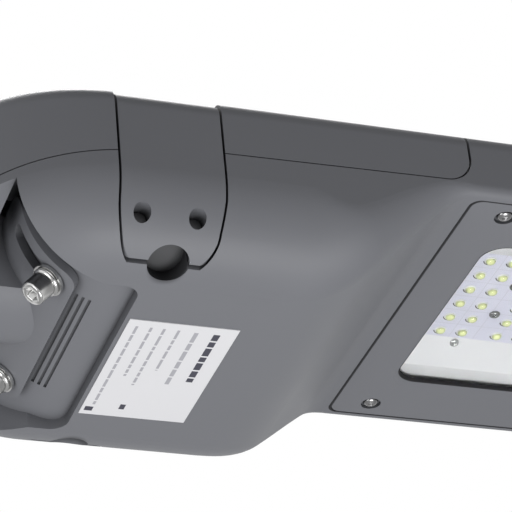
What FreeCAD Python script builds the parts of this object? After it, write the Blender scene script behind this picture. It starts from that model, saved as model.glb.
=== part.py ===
import FreeCAD, Part
import Sketcher
import math
import os

# LED street light head with a tilting pole adapter, a lift-off cover and two side latches.
# Origin: centre of the pole socket's mouth. X runs along the bore to the light's front end,
# Y runs across, Z is up. The light shines down, and the frame's outer face is at Z = 0.

SIZES = [
    # whole head
    ("body_rear", 48.0, "rear face of the head"),
    ("body_front", 500.0, "front face of the head"),
    ("half_width", 112.0, "half of the width across the sides"),
    ("rear_corner", 72.0, "plan corner radius at the rear"),
    ("front_corner", 45.0, "plan corner radius at the front"),
    ("driver_depth", 49.0, "depth of the driver part below the light face"),
    ("under_round", 40.0, "long round under the driver part"),
    ("led_round", 5.0, "edge round under the light part"),
    ("shoulder_start", 212.0, "where the shoulder leaves the flat underside"),
    ("shoulder_heel", 60.0, "radius at the shoulder's foot"),
    ("shoulder_crest", 24.0, "radius at the shoulder's crest"),
    ("shoulder_slope", 41.5, "shoulder's slope in degrees"),
    ("side_height", 35.0, "height of the sides above the light face"),
    ("crown_height", 50.0, "height of the crown above the light face"),
    ("top_round", 10.0, "round along the top edge"),
    ("housing_wall", 4.0, "wall of the housing"),
    ("cover_wall", 3.0, "wall of the cover"),
    # seam between the housing and the cover
    ("seam_rear_low", 8.0, "seam below the light face at the rear"),
    ("seam_rear_high", 1.0, "seam below the light face behind the latches"),
    ("seam_step", 142.0, "place of the seam's step, hidden by the latches"),
    ("seam_front_low", 4.0, "seam above the light face ahead of the step"),
    ("seam_front_high", 6.3, "seam above the light face at its front corner"),
    ("cover_front", 296.5, "front face of the cover"),
    ("cover_corner", 13.0, "corner radius at the cover's front"),
    ("seam_gap", 0.6, "open seam below the cover"),
    ("front_gap", 1.3, "open seam ahead of the cover"),
    # sealed chamber for the gear
    ("ring_inner", 82.0, "half width inside the ring wall"),
    ("ring_wall", 3.5, "ring wall's thickness"),
    ("ring_rear", 88.5, "rear face of the ring wall"),
    ("ring_front", 284.0, "inner face of the ring wall's front leg"),
    ("ring_height", 20.0, "top of the ring wall"),
    ("seal_height", 4.0, "height of the cover seal"),
    ("part_gap", 0.3, "running gap between separate bodies"),
    # tilt seat and its recess
    ("tilt_place", 135.0, "place of the tilt axis"),
    ("tilt_height", 4.0, "height of the tilt axis"),
    ("seat_radius", 47.6, "outer radius of the seat"),
    ("seat_wall", 4.0, "wall of the seat"),
    ("recess_front", 137.0, "front wall of the recess"),
    ("recess_half", 69.5, "half width at the recess's front"),
    ("recess_bend", 118.0, "where the recess's sides start to flare"),
    ("recess_flare", 26.5, "flare of the recess's sides in degrees"),
    ("recess_round", 9.0, "corner radius at the recess's front"),
    ("recess_top", 15.0, "ceiling of the recess"),
    ("recess_lip", 11.0, "lower ceiling at the rear, below the light face"),
    ("recess_lip_end", 71.0, "where the ceiling starts to rise"),
    ("recess_rise", 8.0, "length over which the ceiling rises"),
    ("tunnel_radius", 40.0, "clear radius round the tube"),
    ("tunnel_front", 86.0, "front end of the tunnel"),
    ("groove_first", 18.0, "first scale groove in degrees"),
    ("groove_pitch", 4.1, "pitch of the scale grooves in degrees"),
    ("groove_depth", 1.2, "depth of a scale groove"),
    ("groove_width", 1.5, "width of a scale groove"),
    ("groove_half", 42.0, "half length of a scale groove"),
    # pole adapter
    ("bore_radius", 31.0, "pole socket's bore"),
    ("tube_radius", 37.0, "outer radius of the socket tube"),
    ("socket_length", 58.0, "depth to the pole stop"),
    ("stop_length", 4.0, "wall that stops the pole"),
    ("neck_half", 25.0, "half width of the neck"),
    ("neck_top", 14.0, "top of the neck above the bore's axis"),
    ("neck_wall", 6.0, "wall of the neck"),
    ("passage_radius", 32.5, "radius of the cable passage's floor"),
    ("neck_taper", 14.0, "length of the taper from the tube to the neck"),
    ("collar_radius", 40.0, "radius of the mouth collar"),
    ("collar_length", 14.0, "length of the mouth collar"),
    ("flange_gap", 0.5, "gap between the seat and the flange"),
    ("flange_wall", 4.5, "thickness of the flange"),
    ("flange_half", 58.5, "half width of the flange"),
    ("flange_start", 29.7, "front edge of the flange in degrees"),
    ("flange_end", 97.0, "upper edge of the flange in degrees"),
    ("flange_corner", 8.0, "corner radius at the flange's front edge"),
    ("flange_shoulder", 16.0, "corner radius at the flange's upper edge"),
    ("bolt_side", 46.5, "tilt bolts off the middle plane"),
    ("bolt_angle", 43.5, "tilt bolts from straight down in degrees"),
    ("slot_half", 4.6, "half width of a slot"),
    ("slot_travel", 32.0, "travel of the slots in degrees"),
    ("bolt_radius", 3.95, "tilt bolt's shank"),
    ("thread_gap", 0.05, "radial gap at threads and pins"),
    ("bolt_head", 6.5, "radius of the tilt bolt's head"),
    ("bolt_head_length", 9.5, "length of the tilt bolt's head"),
    ("hex_half", 3.0, "half of the bolt's hexagon across flats"),
    ("hex_depth", 4.0, "depth of the bolt's hexagon"),
    ("washer_radius", 8.5, "radius of the flat washers"),
    ("washer_thickness", 1.8, "thickness of the flat washers"),
    ("spring_radius", 7.6, "radius of the spring washers"),
    ("spring_thickness", 2.4, "thickness of the spring washers"),
    ("bolt_boss", 9.0, "radius of the bosses inside the seat"),
    ("bolt_boss_end", 33.0, "inner end of the bosses from the tilt axis"),
    ("clamp_first", 18.0, "place of the first clamp screw"),
    ("clamp_pitch", 27.0, "pitch of the clamp screws"),
    ("clamp_boss", 8.0, "radius of the clamp screw's boss"),
    ("clamp_boss_depth", 43.0, "outer face of the clamp bosses from the bore's axis"),
    ("clamp_head", 6.5, "radius of the clamp screw's head"),
    ("clamp_head_length", 6.0, "length of the clamp screw's head"),
    # latches
    ("latch_rear", 116.5, "rear edge of a latch"),
    ("latch_front", 167.5, "front edge of a latch"),
    ("latch_wall", 3.0, "wall of a latch"),
    ("latch_end", 65.9, "lower end of a latch round the under round in degrees"),
    ("latch_gap", 1.2, "gap round a latch"),
    ("latch_curve", 38.0, "radius of a latch's rear edge near its lower end"),
    ("latch_curve_turn", 25.0, "turn of that rear edge in degrees"),
    ("latch_corner", 9.0, "corner radius at a latch's lower rear"),
    ("latch_edge_low", -22.0, "where a latch's front edge starts to lean"),
    ("pin_side", 102.0, "latch pin off the middle plane"),
    ("pin_height", 25.5, "height of the latch pin"),
    ("pin_radius", 2.0, "radius of the latch pin"),
    ("cheek_wall", 3.0, "cheeks that hold the latch pin"),
    ("pocket_inner", 91.3, "inner side of the cover's latch pocket"),
    ("pocket_wall", 2.5, "wall of the cover's latch pocket"),
    ("pocket_floor", 8.0, "lower edge of the latch pocket's wall"),
    ("latch_hole", 4.3, "radius of a latch's screw hole"),
    ("latch_hole_depth", 10.0, "depth of a latch's screw hole"),
    ("latch_hole_first", 127.3, "rear screw hole of a latch"),
    ("latch_hole_second", 154.4, "front screw hole of a latch"),
    ("latch_hole_low", 30.7, "screw holes below the light face"),
    ("latch_boss", 6.0, "radius of a latch's screw boss"),
    ("scoop_place", 144.5, "place of the finger scoop"),
    ("scoop_side", 87.5, "finger scoop off the middle plane"),
    ("scoop_low", 46.0, "finger scoop below the light face"),
    ("scoop_radius", 10.2, "radius of the finger scoop"),
    ("scoop_depth", 12.0, "depth of the finger scoop"),
    ("scoop_tilt", 30.0, "finger scoop's lean in degrees"),
    ("catch_wall", 1.5, "sheet of the catch springs"),
    ("catch_rear", 124.0, "rear edge of a catch spring"),
    ("catch_front", 160.0, "front edge of a catch spring"),
    ("catch_top", 12.0, "upper edge of a catch spring below the light face"),
    ("catch_bottom", 34.0, "lower edge of a catch spring below the light face"),
    ("catch_screw", 1.9, "shank radius of a catch screw"),
    ("catch_screw_head", 3.6, "head radius of a catch screw"),
    ("catch_screw_head_length", 2.4, "head length of a catch screw"),
    # light module
    ("frame_rear", 300.0, "rear edge of the light frame"),
    ("frame_front", 492.4, "front edge of the light frame"),
    ("frame_half", 105.0, "half width of the light frame"),
    ("frame_rear_corner", 6.0, "rear corner radius of the frame"),
    ("frame_front_corner", 38.0, "front corner radius of the frame"),
    ("frame_wall", 3.2, "thickness of the frame"),
    ("frame_gap", 0.4, "gap round the frame"),
    ("window_rear", 327.2, "rear edge of the window"),
    ("window_front", 465.2, "front edge of the window"),
    ("window_half", 67.9, "half width of the window"),
    ("window_corner", 12.0, "corner radius of the window"),
    ("frame_screw_rear", 320.9, "rear frame screws"),
    ("frame_screw_front", 471.5, "front frame screws"),
    ("frame_screw_side", 93.7, "frame screws off the middle plane"),
    ("frame_screw_head", 4.0, "radius of a frame screw's head"),
    ("frame_screw_sink", 5.5, "radius of the sink round a frame screw"),
    ("frame_screw_sink_depth", 1.8, "depth of the sink round a frame screw"),
    ("frame_screw_radius", 1.95, "shank of a frame screw"),
    ("cavity_margin", 5.0, "ledge that the frame seats on"),
    ("cavity_top", 17.1, "top of the light cavity"),
    ("deck_top", 22.0, "top of the deck between the fins"),
    ("rear_wall", 4.2, "wall between the chamber and the fins"),
    ("well_rim", 6.0, "rim round the fins"),
    ("fin_pitch", 12.0, "pitch of the fins"),
    ("fin_wall", 3.0, "thickness of a fin"),
    ("glass_margin", 10.0, "glass beyond the window"),
    ("glass_wall", 3.0, "thickness of the glass"),
    ("seal_wall", 2.2, "width of the glass seal"),
    ("reflector_sheet", 1.2, "sheet of the reflector"),
    ("reflector_rear", 326.5, "rear edge of the reflector's slope at the glass"),
    ("reflector_front", 466.0, "front edge of the reflector's slope at the glass"),
    ("reflector_half", 58.0, "half width of the reflector's slope at the glass"),
    ("floor_rear", 334.0, "rear edge of the reflector's opening at the board"),
    ("floor_front", 458.4, "front edge of the reflector's opening at the board"),
    ("floor_half", 41.0, "half width of the reflector's opening at the board"),
    ("board_wall", 1.6, "thickness of the board"),
    ("board_margin", 8.0, "board beyond the reflector's opening"),
    ("led_size", 5.0, "side of an LED"),
    ("led_height", 1.9, "height of an LED"),
    ("led_first", 340.3, "first column of LEDs"),
    ("led_pair", 12.8, "columns within a pair"),
    ("led_pitch", 33.0, "pitch of the pairs"),
    ("led_row", 13.9, "pitch of the rows"),
    ("board_screw", 3.0, "radius of a board screw's head"),
    ("board_screw_height", 1.7, "height of a board screw's head"),
    # gear inside the chamber
    ("tray_rear", 116.0, "rear edge of the gear tray"),
    ("tray_front", 264.0, "front edge of the gear tray"),
    ("tray_half", 78.0, "half width of the gear tray"),
    ("tray_low", 9.0, "underside of the gear tray below the light face"),
    ("tray_wall", 1.5, "sheet of the gear tray"),
    ("post_radius", 5.0, "radius of the tray's posts"),
    ("post_rear", 156.0, "rear posts"),
    ("post_front", 254.0, "front posts"),
    ("post_side", 71.0, "posts off the middle plane"),
    ("screw_radius", 1.95, "shank of the small screws"),
    ("screw_head", 3.6, "head radius of the small screws"),
    ("screw_head_length", 2.2, "head length of the small screws"),
    ("screw_length", 10.0, "shank length of the small screws"),
    ("driver_rear", 190.0, "rear face of the driver"),
    ("driver_front", 244.0, "front face of the driver"),
    ("driver_half", 62.0, "half length of the driver's case"),
    ("driver_height", 31.0, "height of the driver"),
    ("driver_foot", 8.0, "length of the driver's feet"),
    ("driver_foot_wall", 2.0, "thickness of the driver's feet"),
    ("terminal_rear", 167.0, "rear face of the terminal block"),
    ("terminal_width", 17.0, "width of the terminal block"),
    ("terminal_start", 44.0, "near end of the terminal block off the middle plane"),
    ("terminal_pole", 10.0, "pitch of the terminals"),
    ("terminal_height", 18.0, "height of the terminal block"),
    ("surge_rear", 122.0, "rear face of the surge protector"),
    ("surge_length", 42.0, "length of the surge protector"),
    ("surge_start", 22.0, "start of the surge protector off the middle plane"),
    ("surge_width", 34.0, "width of the surge protector"),
    ("surge_height", 26.0, "height of the surge protector"),
    ("driver_screw_inset", 8.0, "driver screws from the driver's ends"),
    ("driver_screw_length", 6.0, "shank length of the driver screws"),
    ("gland_angle", 62.0, "cable gland from straight down in degrees"),
    ("gland_radius", 9.0, "radius of the cable gland's nut"),
    ("gland_thread", 6.5, "radius of the cable gland's thread"),
    ("gland_bore", 3.6, "bore of the cable gland"),
    ("gland_length", 8.0, "outer length of the cable gland"),
    ("gland_nut", 4.0, "length of the cable gland's inner nut"),
    # label
    ("label_rear", 139.2, "rear edge of the label"),
    ("label_length", 56.0, "length of the label"),
    ("label_near", 42.0, "near edge of the label off the middle plane"),
    ("label_far", 50.0, "far edge of the label off the middle plane"),
    ("label_wall", 0.4, "thickness of the label"),
    # room for cutters beyond the faces that they pass
    ("over", 10.0, "how far cutters pass the outer faces"),
]

doc = FreeCAD.newDocument("street_light_head")
sheet = doc.addObject("Spreadsheet::Sheet", "Sizes")


class Size:
    """A number together with the sheet expression that gives it."""

    def __init__(self, value, text):
        self.value = value
        self.text = text

    def __add__(self, other):
        other = as_size(other)
        return Size(self.value + other.value, "(%s + %s)" % (self.text, other.text))

    def __radd__(self, other):
        return as_size(other) + self

    def __sub__(self, other):
        other = as_size(other)
        return Size(self.value - other.value, "(%s - %s)" % (self.text, other.text))

    def __rsub__(self, other):
        return as_size(other) - self

    def __mul__(self, other):
        other = as_size(other)
        return Size(self.value * other.value, "(%s * %s)" % (self.text, other.text))

    def __rmul__(self, other):
        return as_size(other) * self

    def __truediv__(self, other):
        other = as_size(other)
        return Size(self.value / other.value, "(%s / %s)" % (self.text, other.text))

    def __rtruediv__(self, other):
        return as_size(other) / self

    def __neg__(self):
        return Size(-self.value, "(0 - %s)" % self.text)


def as_size(number):
    return number if isinstance(number, Size) else Size(float(number), repr(float(number)))


def sine(angle):
    angle = as_size(angle)
    return Size(math.sin(math.radians(angle.value)), "sin(%s)" % angle.text)


def cosine(angle):
    angle = as_size(angle)
    return Size(math.cos(math.radians(angle.value)), "cos(%s)" % angle.text)


def root(number):
    return Size(math.sqrt(number.value), "sqrt(%s)" % number.text)


class Names:
    """The sheet's sizes by name."""


size = Names()
for row, (name, value, note) in enumerate(SIZES, 1):
    sheet.set("A%d" % row, name)
    sheet.set("B%d" % row, str(value))
    sheet.set("C%d" % row, note)
    sheet.setAlias("B%d" % row, name)
    setattr(size, name, Size(value, "Sizes." + name))
doc.recompute()


# Building blocks

def bind(item, path, amount):
    item.setExpression(path, as_size(amount).text)


def block(name, x, y, z):
    """Box between two places along each axis."""
    box = doc.addObject("Part::Box", name)
    for side, axis, span in (("Length", "x", x), ("Width", "y", y), ("Height", "z", z)):
        bind(box, side, as_size(span[1]) - span[0])
        bind(box, "Placement.Base." + axis, span[0])
    return box


TURNS = {
    "x": FreeCAD.Rotation(FreeCAD.Vector(0, 1, 0), 90),
    "y": FreeCAD.Rotation(FreeCAD.Vector(1, 0, 0), -90),
    "z": FreeCAD.Rotation(),
}


def rod(name, radius, axis, span, centre):
    """Cylinder along one axis; centre is its place on the other two axes, in x, y, z order."""
    cylinder = doc.addObject("Part::Cylinder", name)
    cylinder.Placement = FreeCAD.Placement(FreeCAD.Vector(), TURNS[axis])
    bind(cylinder, "Radius", radius)
    bind(cylinder, "Height", as_size(span[1]) - span[0])
    bind(cylinder, "Placement.Base." + axis, span[0])
    for letter, place in zip("xyz".replace(axis, ""), centre):
        bind(cylinder, "Placement.Base." + letter, place)
    return cylinder


def taper(name, rear_radius, front_radius, span):
    """Cone along the bore's axis."""
    cone = doc.addObject("Part::Cone", name)
    cone.Placement = FreeCAD.Placement(FreeCAD.Vector(), TURNS["x"])
    bind(cone, "Radius1", rear_radius)
    bind(cone, "Radius2", front_radius)
    bind(cone, "Height", as_size(span[1]) - span[0])
    bind(cone, "Placement.Base.x", span[0])
    return cone


def point_on_arc(radius, angle):
    """Place round the tilt axis, by the angle from straight down towards the rear."""
    return size.tilt_place - radius * sine(angle), size.tilt_height - radius * cosine(angle)


def spoke(name, radius, angle, inner, outer, side, sides=None):
    """Cylinder, or prism with some sides, that points away from the tilt axis."""
    shape = doc.addObject("Part::Prism" if sides else "Part::Cylinder", name)
    shape.Placement = FreeCAD.Placement(FreeCAD.Vector(), FreeCAD.Rotation(FreeCAD.Vector(0, 1, 0), 180))
    if sides:
        shape.Polygon = sides
        bind(shape, "Circumradius", radius)
    else:
        bind(shape, "Radius", radius)
    bind(shape, "Height", as_size(outer) - inner)
    x, z = point_on_arc(inner, angle)
    bind(shape, "Placement.Base.x", x)
    bind(shape, "Placement.Base.y", side)
    bind(shape, "Placement.Base.z", z)
    bind(shape, "Placement.Rotation.Angle", 180 + angle)
    return shape


def union(name, *shapes):
    fuse = doc.addObject("Part::MultiFuse", name)
    fuse.Shapes = list(shapes)
    return fuse


def cut(name, base, *tools):
    """The base with each tool taken away in turn."""
    for number, tool in enumerate(tools, 1):
        last = number == len(tools)
        rest = doc.addObject("Part::Cut", name if last else "%s_stage_%d" % (name, number))
        rest.Base = base
        rest.Tool = tool
        base = rest
    return base


def common(name, *shapes):
    shared = doc.addObject("Part::MultiCommon", name)
    shared.Shapes = list(shapes)
    return shared


def mirrored(name, source):
    """The same piece on the other side of the middle plane."""
    other = doc.addObject("Part::Mirroring", name)
    other.Source = source
    other.Normal = FreeCAD.Vector(0, 1, 0)
    return other


def group(name, shapes):
    """Like pieces that share one name."""
    set_of = doc.addObject("Part::Compound", name)
    set_of.Links = list(shapes)
    return set_of


def both_sides(name, shape):
    return group(name, [shape, mirrored(name + "_far", shape)])


PLANE_ROLES = {"XY": "XY_Plane", "XZ": "XZ_Plane", "YZ": "YZ_Plane"}


def draw(sketch, corners):
    """Closed outline. A corner is (u, v), or (u, v, radius) where an arc leads to it, with a
    radius below zero for an arc that runs clockwise."""
    ends = []
    for index, corner in enumerate(corners):
        before = corners[index - 1]
        start = FreeCAD.Vector(as_size(before[0]).value, as_size(before[1]).value)
        finish = FreeCAD.Vector(as_size(corner[0]).value, as_size(corner[1]).value)
        if len(corner) == 2:
            geometry = sketch.addGeometry(Part.LineSegment(start, finish))
            ends.append((geometry, 1, 2))
            continue
        radius = as_size(corner[2])
        way = 1 if radius.value > 0 else -1
        chord = finish - start
        middle = (start + finish) * 0.5
        height = math.sqrt(max(radius.value ** 2 - chord.Length ** 2 / 4, 0))
        left = FreeCAD.Vector(-chord.y, chord.x) / chord.Length
        centre = middle + left * (way * height)
        first, last = (start, finish) if way > 0 else (finish, start)
        angles = [math.atan2(end.y - centre.y, end.x - centre.x) for end in (first, last)]
        circle = Part.Circle(centre, FreeCAD.Vector(0, 0, 1), abs(radius.value))
        geometry = sketch.addGeometry(Part.ArcOfCircle(circle, angles[0], angles[1]))
        ends.append((geometry, 1, 2) if way > 0 else (geometry, 2, 1))
        tie(sketch, "Radius", (geometry,), radius if way > 0 else -radius)
    for index, corner in enumerate(corners):
        geometry, _, finish = ends[index]
        after, start, _ = ends[(index + 1) % len(corners)]
        sketch.addConstraint(Sketcher.Constraint("Coincident", geometry, finish, after, start))
        for kind, amount, axis in (("DistanceX", corner[0], -2), ("DistanceY", corner[1], -1)):
            if isinstance(amount, Size):
                tie(sketch, kind, (-1, 1, geometry, finish), amount)
            else:
                sketch.addConstraint(Sketcher.Constraint("PointOnObject", geometry, finish, axis))


def tie(sketch, kind, places, amount):
    number = sketch.addConstraint(Sketcher.Constraint(kind, *places, amount.value))
    sketch.setExpression("Constraints[%d]" % number, amount.text)


def slab(name, plane, corners, low, high):
    """Body whose outline is drawn on a plane and that reaches between two places across it."""
    body = doc.addObject("PartDesign::Body", name)
    sketch = body.newObject("Sketcher::SketchObject", name + "_outline")
    origin = [item for item in body.Origin.OriginFeatures if item.Role == PLANE_ROLES[plane]]
    sketch.AttachmentSupport = [(origin[0], "")]
    sketch.MapMode = "FlatFace"
    bind(sketch, "AttachmentOffset.Base.z", -as_size(high) if plane == "XZ" else low)
    draw(sketch, corners)
    pad = body.newObject("PartDesign::Pad", name + "_pad")
    pad.Profile = sketch
    bind(pad, "Length", as_size(high) - low)
    return body


def plate(x, half, rear_round, front_round):
    """Corners of a rounded plate across the middle plane."""
    rear, front = x
    return [
        (rear + rear_round, -half, rear_round),
        (front - front_round, -half),
        (front, front_round - half, front_round),
        (front, half - front_round),
        (front - front_round, half, front_round),
        (rear + rear_round, half),
        (rear, half - rear_round, rear_round),
        (rear, rear_round - half),
    ]


def rectangle(x, y):
    return [(x[0], y[0]), (x[1], y[0]), (x[1], y[1]), (x[0], y[1])]


# Outer form of the head

crown_rise = size.crown_height - size.side_height
crown_radius = (size.half_width * size.half_width + crown_rise * crown_rise) / (2 * crown_rise)
arcs = size.shoulder_heel + size.shoulder_crest
slope_run = (size.driver_depth - arcs * (1 - cosine(size.shoulder_slope))) / sine(size.shoulder_slope)
shoulder_end = size.shoulder_start + arcs * sine(size.shoulder_slope) + slope_run * cosine(size.shoulder_slope)
far_front = size.body_front + size.over
far_side = size.half_width + size.over
far_top = size.crown_height + size.over
far_low = -(size.driver_depth + size.over)


def shoulder(inset):
    """Side outline of what is taken away ahead of the driver part."""
    heel = size.shoulder_heel - inset
    crest = size.shoulder_crest + inset
    low = inset - size.driver_depth
    slope = size.shoulder_slope
    heel_middle = size.shoulder_heel - size.driver_depth
    return [
        (size.shoulder_start, low),
        (size.shoulder_start + heel * sine(slope), heel_middle - heel * cosine(slope), heel),
        (shoulder_end - crest * sine(slope), crest * cosine(slope) - size.shoulder_crest),
        (shoulder_end, as_size(inset), -crest),
        (far_front, as_size(inset)),
        (far_front, far_low),
        (size.shoulder_start, far_low),
    ]


def crown(inset):
    """Cross outline of what is taken away above the crown."""
    radius = crown_radius - inset
    middle = size.crown_height - crown_radius
    height = middle + root(radius * radius - size.half_width * size.half_width)
    return [
        (-far_side, height),
        (-size.half_width, height),
        (size.half_width, height, -radius),
        (far_side, height),
        (far_side, far_top),
        (-far_side, far_top),
    ]


def head_form(name, inset):
    """Whole form of the head, drawn in all round by the inset."""
    inset = as_size(inset)
    rear = size.body_rear + inset
    front = size.body_front - inset
    half = size.half_width - inset
    outline = plate((rear, front), half, size.rear_corner - inset, size.front_corner - inset)
    plan = slab(name + "_plan", "XY", outline, inset - size.driver_depth, far_top)
    step = slab(name + "_shoulder", "XZ", shoulder(inset), -far_side, far_side)
    roof = slab(name + "_crown", "YZ", crown(inset), as_size(0), far_front)
    rough = cut(name + "_rough", plan, step, roof)
    doc.recompute()
    under = size.under_round.value - inset.value
    light = max(size.led_round.value - inset.value, 1.0)
    top = size.top_round.value - inset.value

    def under_radius(point):
        if point.z < inset.value - size.driver_depth.value + 0.001:
            return under
        if point.z > inset.value - 0.001:
            return light
        share = (point.x - size.shoulder_start.value) / (shoulder_end.value - size.shoulder_start.value)
        return under + (light - under) * share

    edges = []
    for number, edge in enumerate(rough.Shape.Edges, 1):
        room = edge.BoundBox
        across = room.XLength < 0.001 and room.ZLength < 0.001
        if room.ZMin > size.side_height.value / 2:
            edges.append((number, top, top))
        elif room.ZMax < inset.value + 0.01 and not (across and rear.value + 1 < room.XMax < front.value - 1):
            ends = [edge.valueAt(place) for place in (edge.FirstParameter, edge.LastParameter)]
            if edge.Orientation == "Reversed":
                ends.reverse()
            edges.append((number, under_radius(ends[0]), under_radius(ends[1])))
    smooth = doc.addObject("Part::Fillet", name)
    smooth.Base = rough
    smooth.Edges = edges
    return smooth


outer = head_form("outer_form", 0)
inner = head_form("inner_form", size.housing_wall)
cover_inner = head_form("cover_inner_form", size.cover_wall)


# Cover zone above the seam

def cover_zone(below, ahead):
    """Side outline of all that lies above the seam, grown below it and ahead of the cover's front."""
    corner = size.cover_corner + ahead
    front = size.cover_front + ahead
    lifted = size.seam_front_high + size.cover_corner
    return [
        (size.body_rear - size.over, -size.seam_rear_low - below),
        (size.latch_rear, -size.seam_rear_high - below),
        (size.seam_step, -size.seam_rear_high - below),
        (size.seam_step, size.seam_front_low - below),
        (size.cover_front - size.cover_corner, size.seam_front_high - below),
        (front, lifted, corner),
        (front, far_top),
        (size.body_rear - size.over, far_top),
    ]


zone = slab("cover_zone", "XZ", cover_zone(as_size(0), as_size(0)), -far_side, far_side)
open_zone = slab("open_cover_zone", "XZ", cover_zone(size.seam_gap, size.front_gap), -far_side, far_side)


# Ring wall of the sealed chamber

def ring(name, low, high):
    """Frame that follows the ring wall between two heights."""
    outer_half = size.ring_inner + size.ring_wall
    x_out = (size.ring_rear, size.ring_front + size.ring_wall)
    x_in = (size.ring_rear + size.ring_wall, size.ring_front)
    full = block(name + "_full", x_out, (-outer_half, outer_half), (low, high))
    room = block(name + "_room", x_in, (-size.ring_inner, size.ring_inner), (low - 1, high + 1))
    return cut(name, full, room)


ring_wall = ring("ring_wall_blank", far_low, size.ring_height)
seal_top = size.ring_height + size.seal_height
cover_gasket = ring("cover_gasket", size.ring_height, seal_top)
cover_rib = ring("cover_rib", seal_top + size.part_gap, far_top)


# Recess for the pole adapter

def recess(name, grow):
    """Well under the rear of the head, flared to the rear and open downwards and to the rear."""
    flare = size.recess_flare
    slant = sine(flare) / cosine(flare)
    front = size.recess_front + grow
    reach = size.recess_round + grow
    half = size.recess_half + grow
    bend = size.recess_bend + grow * (sine(flare / 2) / cosine(flare / 2))
    rear = size.body_rear - size.over
    rear_half = half + (bend - rear) * slant
    plan = slab(name + "_plan", "XY", [
        (rear, -rear_half),
        (bend, -half),
        (front - reach, -half),
        (front, reach - half, reach),
        (front, half - reach),
        (front - reach, half, reach),
        (bend, half),
        (rear, rear_half),
    ], far_low, far_top)
    lift = grow * 0.75
    rise_start = size.recess_lip_end - grow
    side_view = slab(name + "_side_view", "XZ", [
        (rear, far_low),
        (front + size.over, far_low),
        (front + size.over, size.recess_top + lift),
        (rise_start + size.recess_rise, size.recess_top + lift),
        (rise_start, lift - size.recess_lip),
        (rear, lift - size.recess_lip),
    ], -far_side, far_side)
    return common(name, plan, side_view)


def tilt_drum(name, radius, half):
    return rod(name, radius, "y", (-half, half), (size.tilt_place, size.tilt_height))


well = recess("recess_room", as_size(0))
well_liner = recess("recess_liner_room", size.housing_wall)
seat_drum = tilt_drum("seat_drum", size.seat_radius, far_side)
seat_hollow = tilt_drum("seat_hollow", size.seat_radius - size.seat_wall, size.ring_inner)
liner = cut("recess_liner", well_liner, seat_hollow)
well_cut = cut("recess_cut", well, seat_drum)
tunnel = rod("tunnel", size.tunnel_radius, "x", (size.body_rear - size.over, size.tunnel_front), (0, 0))


# Latches: shape, pockets and scoops. The near ones are drawn and mirrored.

def latch_outline(gap):
    """Side outline of a latch, grown by a gap."""
    rear = size.latch_rear - gap
    front = size.latch_front + gap
    low = size.scoop_low + gap
    turn = size.latch_curve_turn
    curve = size.latch_curve + gap
    corner = size.latch_corner + gap
    corner_x = rear + curve * (1 - cosine(turn))
    corner_z = corner * (1 - sine(turn)) - low
    return [
        (rear, far_top),
        (rear, corner_z + curve * sine(turn)),
        (corner_x, corner_z, curve),
        (corner_x + corner * cosine(turn), -low, corner),
        (front - 10.5 - gap, -low),
        (front - 1.5, size.latch_edge_low - 14, 9.5 + gap),
        (front, size.latch_edge_low),
        (front, far_top),
    ]


def scoop(name, radius, depth):
    """Cylinder that enters the housing's lower edge under a latch."""
    shape = doc.addObject("Part::Cylinder", name)
    turn = FreeCAD.Rotation(FreeCAD.Vector(1, 0, 0), 180)
    shape.Placement = FreeCAD.Placement(FreeCAD.Vector(), turn)
    bind(shape, "Radius", radius)
    bind(shape, "Height", depth + size.over)
    bind(shape, "Placement.Base.x", size.scoop_place)
    bind(shape, "Placement.Base.y", depth * sine(size.scoop_tilt) - size.scoop_side)
    bind(shape, "Placement.Base.z", depth * cosine(size.scoop_tilt) - size.scoop_low)
    bind(shape, "Placement.Rotation.Angle", 180 - size.scoop_tilt)
    return shape


under_middle = size.under_round - size.driver_depth
latch_inner_side = size.half_width - size.under_round
under_reach = (size.half_width - size.under_round) + size.under_round * cosine(size.latch_end)
latch_inner_end = latch_inner_side + (size.under_round - size.latch_wall) * cosine(size.latch_end)
opening_inner = latch_inner_end - size.latch_gap
scoop_room = scoop("scoop_room", size.scoop_radius, size.scoop_depth)
scoop_cup_full = scoop("scoop_cup_full", size.scoop_radius + size.cover_wall, size.scoop_depth + size.cover_wall)
cup_room = block(
    "scoop_cup_limit",
    (size.latch_rear, size.latch_front),
    (-(opening_inner - 1), as_size(0)),
    (far_low, as_size(0)),
)
scoop_cup = common("scoop_cup", scoop_cup_full, cup_room)
latch_opening = slab("latch_opening", "XZ", latch_outline(size.latch_gap), -far_side, -opening_inner)


# Lower housing

chamber_zone = block(
    "chamber_zone",
    (size.body_rear - size.over, size.cover_front + size.front_gap),
    (-far_side, far_side),
    (far_low, far_top),
)
chamber = common("chamber", inner, chamber_zone)
shell = cut("housing_shell", outer, open_zone, chamber)

bosses = []
holes = []
for index, side in enumerate((-1, 1)):
    place = side * size.bolt_side
    name = "tilt_bolt_%d" % (index + 1)
    seat_inside = size.seat_radius - size.seat_wall / 2
    bosses.append(spoke(name + "_boss", size.bolt_boss, size.bolt_angle, size.bolt_boss_end, seat_inside, place))
    hole_end = size.bolt_boss_end + size.cover_wall
    hole_radius = size.bolt_radius + size.thread_gap
    holes.append(spoke(name + "_hole", hole_radius, size.bolt_angle, hole_end, size.seat_radius + 1, place))

post_places = [(x, side * size.post_side) for x in (size.post_rear, size.post_front) for side in (-1, 1)]
tray_under = -size.tray_low
for index, place in enumerate(post_places):
    name = "tray_post_%d" % (index + 1)
    bosses.append(rod(name, size.post_radius, "z", (far_low, tray_under), place))
    hole_low = tray_under - size.screw_length
    holes.append(rod(name + "_hole", size.screw_radius + size.thread_gap, "z", (hole_low, tray_under + 1), place))

inside = common("housing_inside", inner, union("housing_walls", ring_wall, liner, scoop_cup,
                                               mirrored("scoop_cup_far", scoop_cup), *bosses))
solid = union("housing_solid", shell, inside)

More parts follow.
